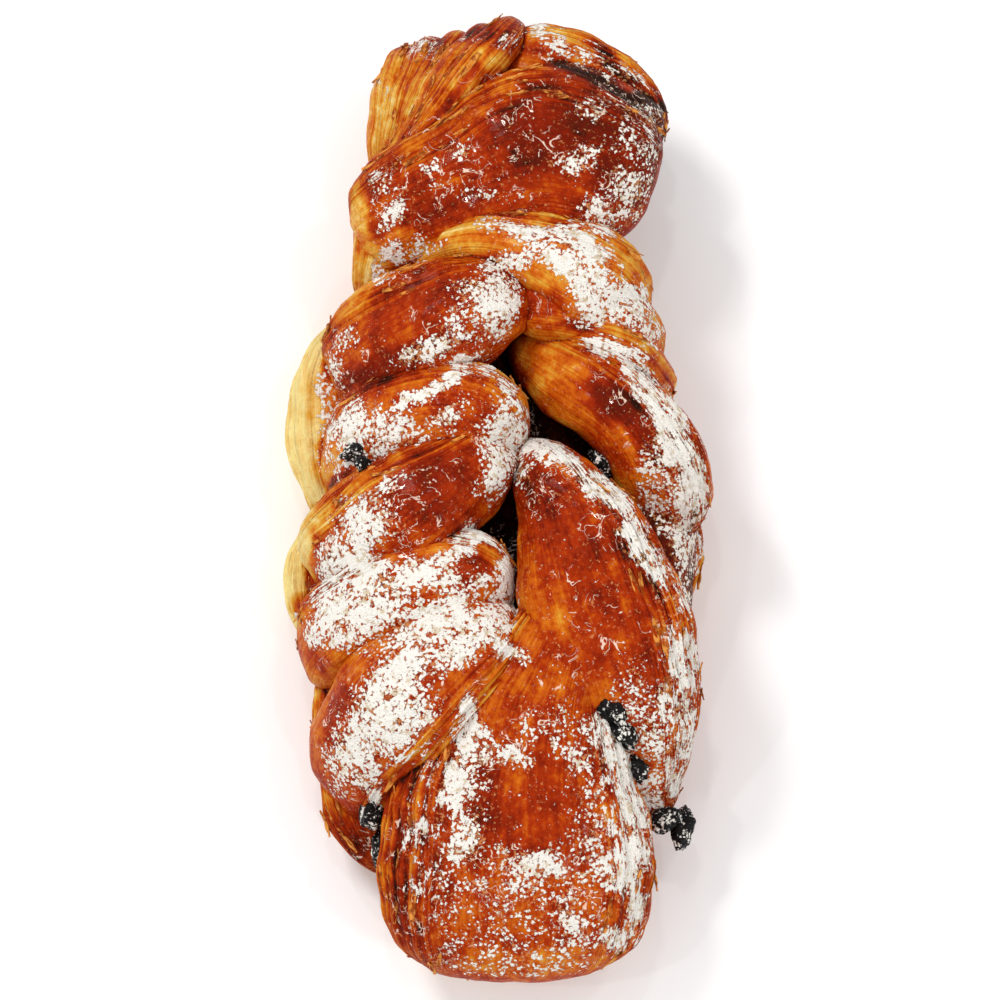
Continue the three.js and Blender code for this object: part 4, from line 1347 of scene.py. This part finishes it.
def sugar_tree(material):
    """Grains on the dough wherever its icing sugar lies."""
    g, given = geometry_tree("sugar_grains", (
        ("Grains per area", "Float", 1.0), ("Smallest", "Float", 1.0), ("Largest", "Float", 1.0),
        ("Seed", "Int", 0)))
    spread = g.out("GeometryNodeDistributePointsOnFaces", {
        "Mesh": given["Geometry"], "Density": given["Grains per area"], "Seed": given["Seed"],
        "Selection": g.math("GREATER_THAN", g.field(SUGAR), SOME_SUGAR)}, "Points")
    bare = g.math("LESS_THAN", sugar_mask(g), CLEAR_SPECK)
    kept = g.out("GeometryNodeDeleteGeometry", {"Geometry": spread, "Selection": bare})
    grain = g.out("GeometryNodeMeshIcoSphere", {"Radius": 1.0, "Subdivisions": 1}, "Mesh")
    size = g.random("FLOAT", given["Smallest"], given["Largest"], given["Seed"])
    turn = g.random("FLOAT_VECTOR", (0, 0, 0), WHOLE_TURNS, given["Seed"])
    return end_tree(g, kept, grain, g.stretched(size, GRAIN_SHAPE), turn, material)


def build_sugar(sugar):
    material = sugar_material(sugar)
    values = {
        "Grains per area": sugar.per_square_mm / MM**2, "Smallest": sugar.smallest / 2,
        "Largest": sugar.largest / 2, "Seed": sugar.seed}
    mesh = scatter_on_dough("icing_sugar", sugar_tree(material), values, material)
    finish_piece("icing_sugar", mesh, material)


def flake_tree(material):
    """Thin curled plies that lift off the layered flanks and lie along their run."""
    g, given = geometry_tree("lifted_flakes", (
        ("Flakes per area", "Float", 1.0), ("Length", "Float", 1.0), ("Width", "Float", 1.0),
        ("Thickness", "Float", 1.0), ("Lift", "Float", 0.2), ("Seed", "Int", 0)))
    seed = given["Seed"]
    bare = g.step(g.field(SUGAR), *FLAKES_FREE, 1.0, 0.0)
    where = g.times(
        g.step(g.field(LAYERED), *FLAKES_LAYERED), g.step(g.field(BAKE), *FLAKES_BAKED), bare)
    spread = g.node("GeometryNodeDistributePointsOnFaces", {
        "Mesh": given["Geometry"], "Density": g.times(where, given["Flakes per area"]), "Seed": seed})

    # One flake, 1 long, wide and thick: narrower toward its ends, curled and ragged
    block = g.out("GeometryNodeMeshCube", {"Size": (1, 1, 1), **FLAKE_CELLS}, "Mesh")
    x, y, z = g.node("ShaderNodeSeparateXYZ", {0: g.place()}).outputs
    ragged = g.ripple(g.place(), FLAKE_RAGS, detail=1)
    narrow = g.add(1.0, g.times(x, x, FLAKE_NARROWS[0]), g.times(ragged, FLAKE_NARROWS[1]))
    curl = g.add(z, g.times(x, x, FLAKE_CURLS[0]), g.times(ragged, FLAKE_CURLS[1]))
    shape = g.vector(x, g.times(y, narrow), curl)
    flake = g.out("GeometryNodeSetPosition", {"Geometry": block, "Position": shape})

    # It lies along the ply's run, tipped a little in its own way
    along = g.out("FunctionNodeAlignRotationToVector", {
        "Rotation": spread.outputs["Rotation"], "Vector": g.field(PLY_RUN, "FLOAT_VECTOR")},
        axis="X", pivot_axis="Z")
    low, high = (g.scaled(tuple(way * part for part in FLAKE_TIP), given["Lift"]) for way in (-1, 1))
    tip = g.random("FLOAT_VECTOR", low, high, seed)
    turn = g.out(
        "FunctionNodeRotateRotation", {"Rotation": along, "Rotate By": tip}, rotation_space="LOCAL")
    whole = g.vector(given["Length"], given["Width"], given["Thickness"])
    size = g.scaled(whole, g.random("FLOAT", *FLAKE_SIZES, seed))
    return end_tree(g, spread.outputs["Points"], flake, size, turn, material)


def build_flakes(flakes):
    material = flake_material(flakes)
    values = {
        "Flakes per area": flakes.per_square_mm / MM**2, "Length": flakes.length, "Width": flakes.width,
        "Thickness": flakes.thickness, "Lift": flakes.lift, "Seed": flakes.seed}
    mesh = scatter_on_dough("flakes", flake_tree(material), values, material)
    mesh.shade_smooth()
    mesh.set_sharp_from_angle(angle=math.radians(FLAKE_CREASE))
    finish_piece("flakes", mesh, material)


def aimed(name, data, where, toward_it):
    """Puts a light or the camera at a place, looking in a direction."""
    thing = bpy.data.objects.new(name, data)
    thing.location = where
    thing.rotation_euler = toward_it.to_track_quat("-Z", "Y").to_euler()
    bpy.context.scene.collection.objects.link(thing)
    return thing


def build_stage(stage):
    for name in ("floor", "camera", *(light[0] for light in LIGHTS)):
        remove_old(name)
    scene = bpy.context.scene
    half = stage.floor_size / 2 / MM
    lines = np.linspace(-half, half, FLOOR_CELLS + 1)
    x, y = grid(lines, lines)
    mesh = mesh_of("floor", np.stack([x, y, np.zeros(x.size)], 1), grid_quads(len(lines), len(lines)))
    mesh.materials.append(floor_material(stage))
    floor = bpy.data.objects.new("floor", mesh)
    scene.collection.objects.link(floor)

    world = bpy.data.worlds.new("soft_white")
    scene.world = world
    world.use_nodes = True
    background = world.node_tree.nodes["Background"]
    background.inputs["Color"].default_value = (1, 1, 1, 1)
    background.inputs["Strength"].default_value = stage.sky

    target = Vector(CAMERA_TARGET * MM)
    for name, power, where, size in LIGHTS:
        light = bpy.data.lights.new(name, "AREA")
        light.shape = "DISK"
        light.size = size
        light.energy = getattr(stage, power)
        aimed(name, light, where, target - Vector(where))

    data = bpy.data.cameras.new("camera")
    data.sensor_width = SENSOR
    data.lens = SENSOR * CAMERA_DISTANCE / VIEW_WIDTH
    data.clip_start, data.clip_end = CAMERA_CLIP
    c, s = turn_of(CAMERA_ELEVATION)
    back = Vector((0, -c, s))
    scene.camera = aimed("camera", data, target + back * CAMERA_DISTANCE * MM, -back)
    scene.view_settings.view_transform = "Standard"
    scene.view_settings.look = "None"


def colour(name, description, screen):
    return bpy.props.FloatVectorProperty(
        name=name, description=description, size=3, subtype="COLOR", min=0, max=1,
        default=linear(*screen))


def number(name, description, default, low, high):
    return bpy.props.FloatProperty(
        name=name, description=description, default=default, min=low, max=high)


def length(name, description, default_mm):
    return bpy.props.FloatProperty(
        name=name, description=description, default=default_mm * MM, min=0, unit="LENGTH", precision=5)


def angle(name, description, degrees):
    return bpy.props.FloatProperty(
        name=name, description=description, default=math.radians(degrees), subtype="ANGLE")


def seed(default):
    return bpy.props.IntProperty(name="Seed", description="Which random scatter", default=default)


class TwistDough(bpy.types.PropertyGroup):
    """The dough's skin and its crust."""

    skin_step: length("Skin step", "Distance across a fold between points of the dough's skin", 0.572)
    crease_angle: angle("Crease angle", "Edges bent by more than this stay sharp", 55)
    pale: colour("Pale", "Dough that hardly baked", (236, 214, 140))
    golden: colour("Golden", "Lightly baked dough", (216, 156, 50))
    orange: colour("Orange", "Crust on the sides of folds", (198, 97, 14))
    red: colour("Red-brown", "Egg-washed crust", (162, 46, 4))
    dark: colour("Dark", "Crust on the tops of folds", (120, 25, 3))
    brown: colour("Brown", "Crust at the hottest corners", (80, 20, 6))
    burnt: colour("Burnt", "Ridges that nearly charred", (40, 15, 6))
    # The flecks' colour is a painted highlight on the blisters, partly a dust of sugar
    fleck_dust_and_highlight: colour("Flecks", "Specks where a dust of sugar lies on the crust", (236, 168, 104))
    # The wrinkle colour is a painted highlight, near white, laid along the fine wrinkles
    wrinkle_highlight: colour("Wrinkle colour", "Fine wrinkles where the egg wash drew up", (255, 222, 200))
    mottle: number("Mottle", "How far the bake varies over a few millimetres", 0.07, 0, 1)
    ply_contrast: number("Ply contrast", "How far the plies differ in bake", 0.074, 0, 2)
    gloss: number("Gloss", "Strength of the egg wash's shine", 0.03, 0, 1)
    wrinkle: length("Wrinkle", "Height of the fine wrinkles in the egg wash", 0.12)


class TwistSugar(bpy.types.PropertyGroup):
    """The icing sugar on top."""

    colour: colour("Colour", "Colour of the icing sugar", (242, 237, 228))
    thin: colour("Thin colour", "Colour where the icing sugar lies thin", (214, 196, 168))
    per_square_mm: number("Grains per mm2", "Grains on each square millimetre of sugar", 1.6, 0, 10)
    smallest: length("Smallest grain", "Diameter of the smallest grains", 0.2)
    largest: length("Largest grain", "Diameter of the largest clumps", 0.46)
    seed: seed(4)


class TwistChips(bpy.types.PropertyGroup):
    """The chocolate chips."""

    colour: colour("Colour", "Colour of the chocolate", (7, 6, 6))
    bloom: colour("Bloom", "Colour where its fat bloomed", (17, 13, 12))
    lumps: number("Lumps", "How uneven a chip is, as a part of its size", 0.19, 0, 0.5)
    swell: number("Swell", "Size against the solid's chips", 1.04, 0.5, 1.5)
    bare: number("Bare", "How free of sugar the chips are", 0.75, -3, 3)


class TwistFlakes(bpy.types.PropertyGroup):
    """The thin plies that lift off."""

    pale: colour("Pale", "Pale side of a flake", (214, 142, 62))
    tan: colour("Tan", "Browner side of a flake", (138, 62, 20))
    per_square_mm: number("Flakes per mm2", "Flakes on a square millimetre of layered flank", 0.035, 0, 10)
    length: length("Length", "Length of the longest flakes", 5.5)
    width: length("Width", "Width of the widest flakes", 1.0)
    thickness: length("Thickness", "Thickness of a flake", 0.18)
    lift: angle("Lift", "How far a flake turns up from the dough", 11)
    seed: seed(2)


class TwistStage(bpy.types.PropertyGroup):
    """The floor, the light and the camera."""

    floor_colour: colour("Floor", "Colour of the floor", (250, 250, 250))
    floor_size: length("Floor size", "Width and depth of the floor", 1600)
    sky: number("Sky", "Strength of the even light from all round", 0.68, 0, 10)
    key: number("Key", "Watts of the main light", 2.4, 0, 100)
    fill: number("Fill", "Watts of the second light", 0.8, 0, 100)
    glint: number("Glint", "Watts of each small light", 0.3, 0, 100)


class TWIST_OT_dough(bpy.types.Operator):
    """Build the folded dough with its laminated flanks and baked crust"""

    bl_idname = "twist.dough"
    bl_label = "Build Dough"

    def execute(self, context):
        build_dough(context.scene.twist_dough, context.scene.twist_sugar)
        return {"FINISHED"}


class TWIST_OT_chips(bpy.types.Operator):
    """Build the chocolate chips that stick out of the creases"""

    bl_idname = "twist.chips"
    bl_label = "Build Chips"

    def execute(self, context):
        build_chips(context.scene.twist_chips, context.scene.twist_sugar)
        return {"FINISHED"}


class TWIST_OT_icing_sugar(bpy.types.Operator):
    """Scatter the grains of icing sugar over the dough"""

    bl_idname = "twist.icing_sugar"
    bl_label = "Scatter Icing Sugar"

    def execute(self, context):
        build_sugar(context.scene.twist_sugar)
        return {"FINISHED"}


class TWIST_OT_flakes(bpy.types.Operator):
    """Scatter thin lifted plies along the layered flanks"""

    bl_idname = "twist.flakes"
    bl_label = "Scatter Flakes"

    def execute(self, context):
        build_flakes(context.scene.twist_flakes)
        return {"FINISHED"}


class TWIST_OT_stage(bpy.types.Operator):
    """Set up the floor, the soft light and the camera"""

    bl_idname = "twist.stage"
    bl_label = "Set Stage"

    def execute(self, context):
        build_stage(context.scene.twist_stage)
        return {"FINISHED"}


class TWIST_PT_panel(bpy.types.Panel):
    """Sizes and colours of the twist, with a button for each piece"""

    bl_label = "Chocolate Chip Twist"
    bl_idname = "TWIST_PT_panel"
    bl_space_type = "VIEW_3D"
    bl_region_type = "UI"
    bl_category = "Twist"

    def draw(self, context):
        for operator, name, _ in STEPS:
            box = self.layout.box()
            group = getattr(context.scene, name)
            for prop in group.bl_rna.properties:
                if prop.identifier not in ("rna_type", "name"):
                    box.prop(group, prop.identifier)
            box.operator(operator.bl_idname)


# The pieces in the order that they are built in, each with its settings
STEPS = (
    (TWIST_OT_dough, "twist_dough", TwistDough),
    (TWIST_OT_chips, "twist_chips", TwistChips),
    (TWIST_OT_icing_sugar, "twist_sugar", TwistSugar),
    (TWIST_OT_flakes, "twist_flakes", TwistFlakes),
    (TWIST_OT_stage, "twist_stage", TwistStage))


def register():
    for operator, name, group in STEPS:
        bpy.utils.register_class(group)
        setattr(bpy.types.Scene, name, bpy.props.PointerProperty(type=group))
        bpy.utils.register_class(operator)
    bpy.utils.register_class(TWIST_PT_panel)


def unregister():
    bpy.utils.unregister_class(TWIST_PT_panel)
    for operator, name, group in reversed(STEPS):
        bpy.utils.unregister_class(operator)
        delattr(bpy.types.Scene, name)
        bpy.utils.unregister_class(group)


def main():
    register()
    bpy.ops.twist.dough()
    bpy.ops.twist.chips()
    bpy.ops.twist.icing_sugar()
    bpy.ops.twist.flakes()
    bpy.ops.twist.stage()
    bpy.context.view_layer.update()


if __name__ == "__main__":
    main()
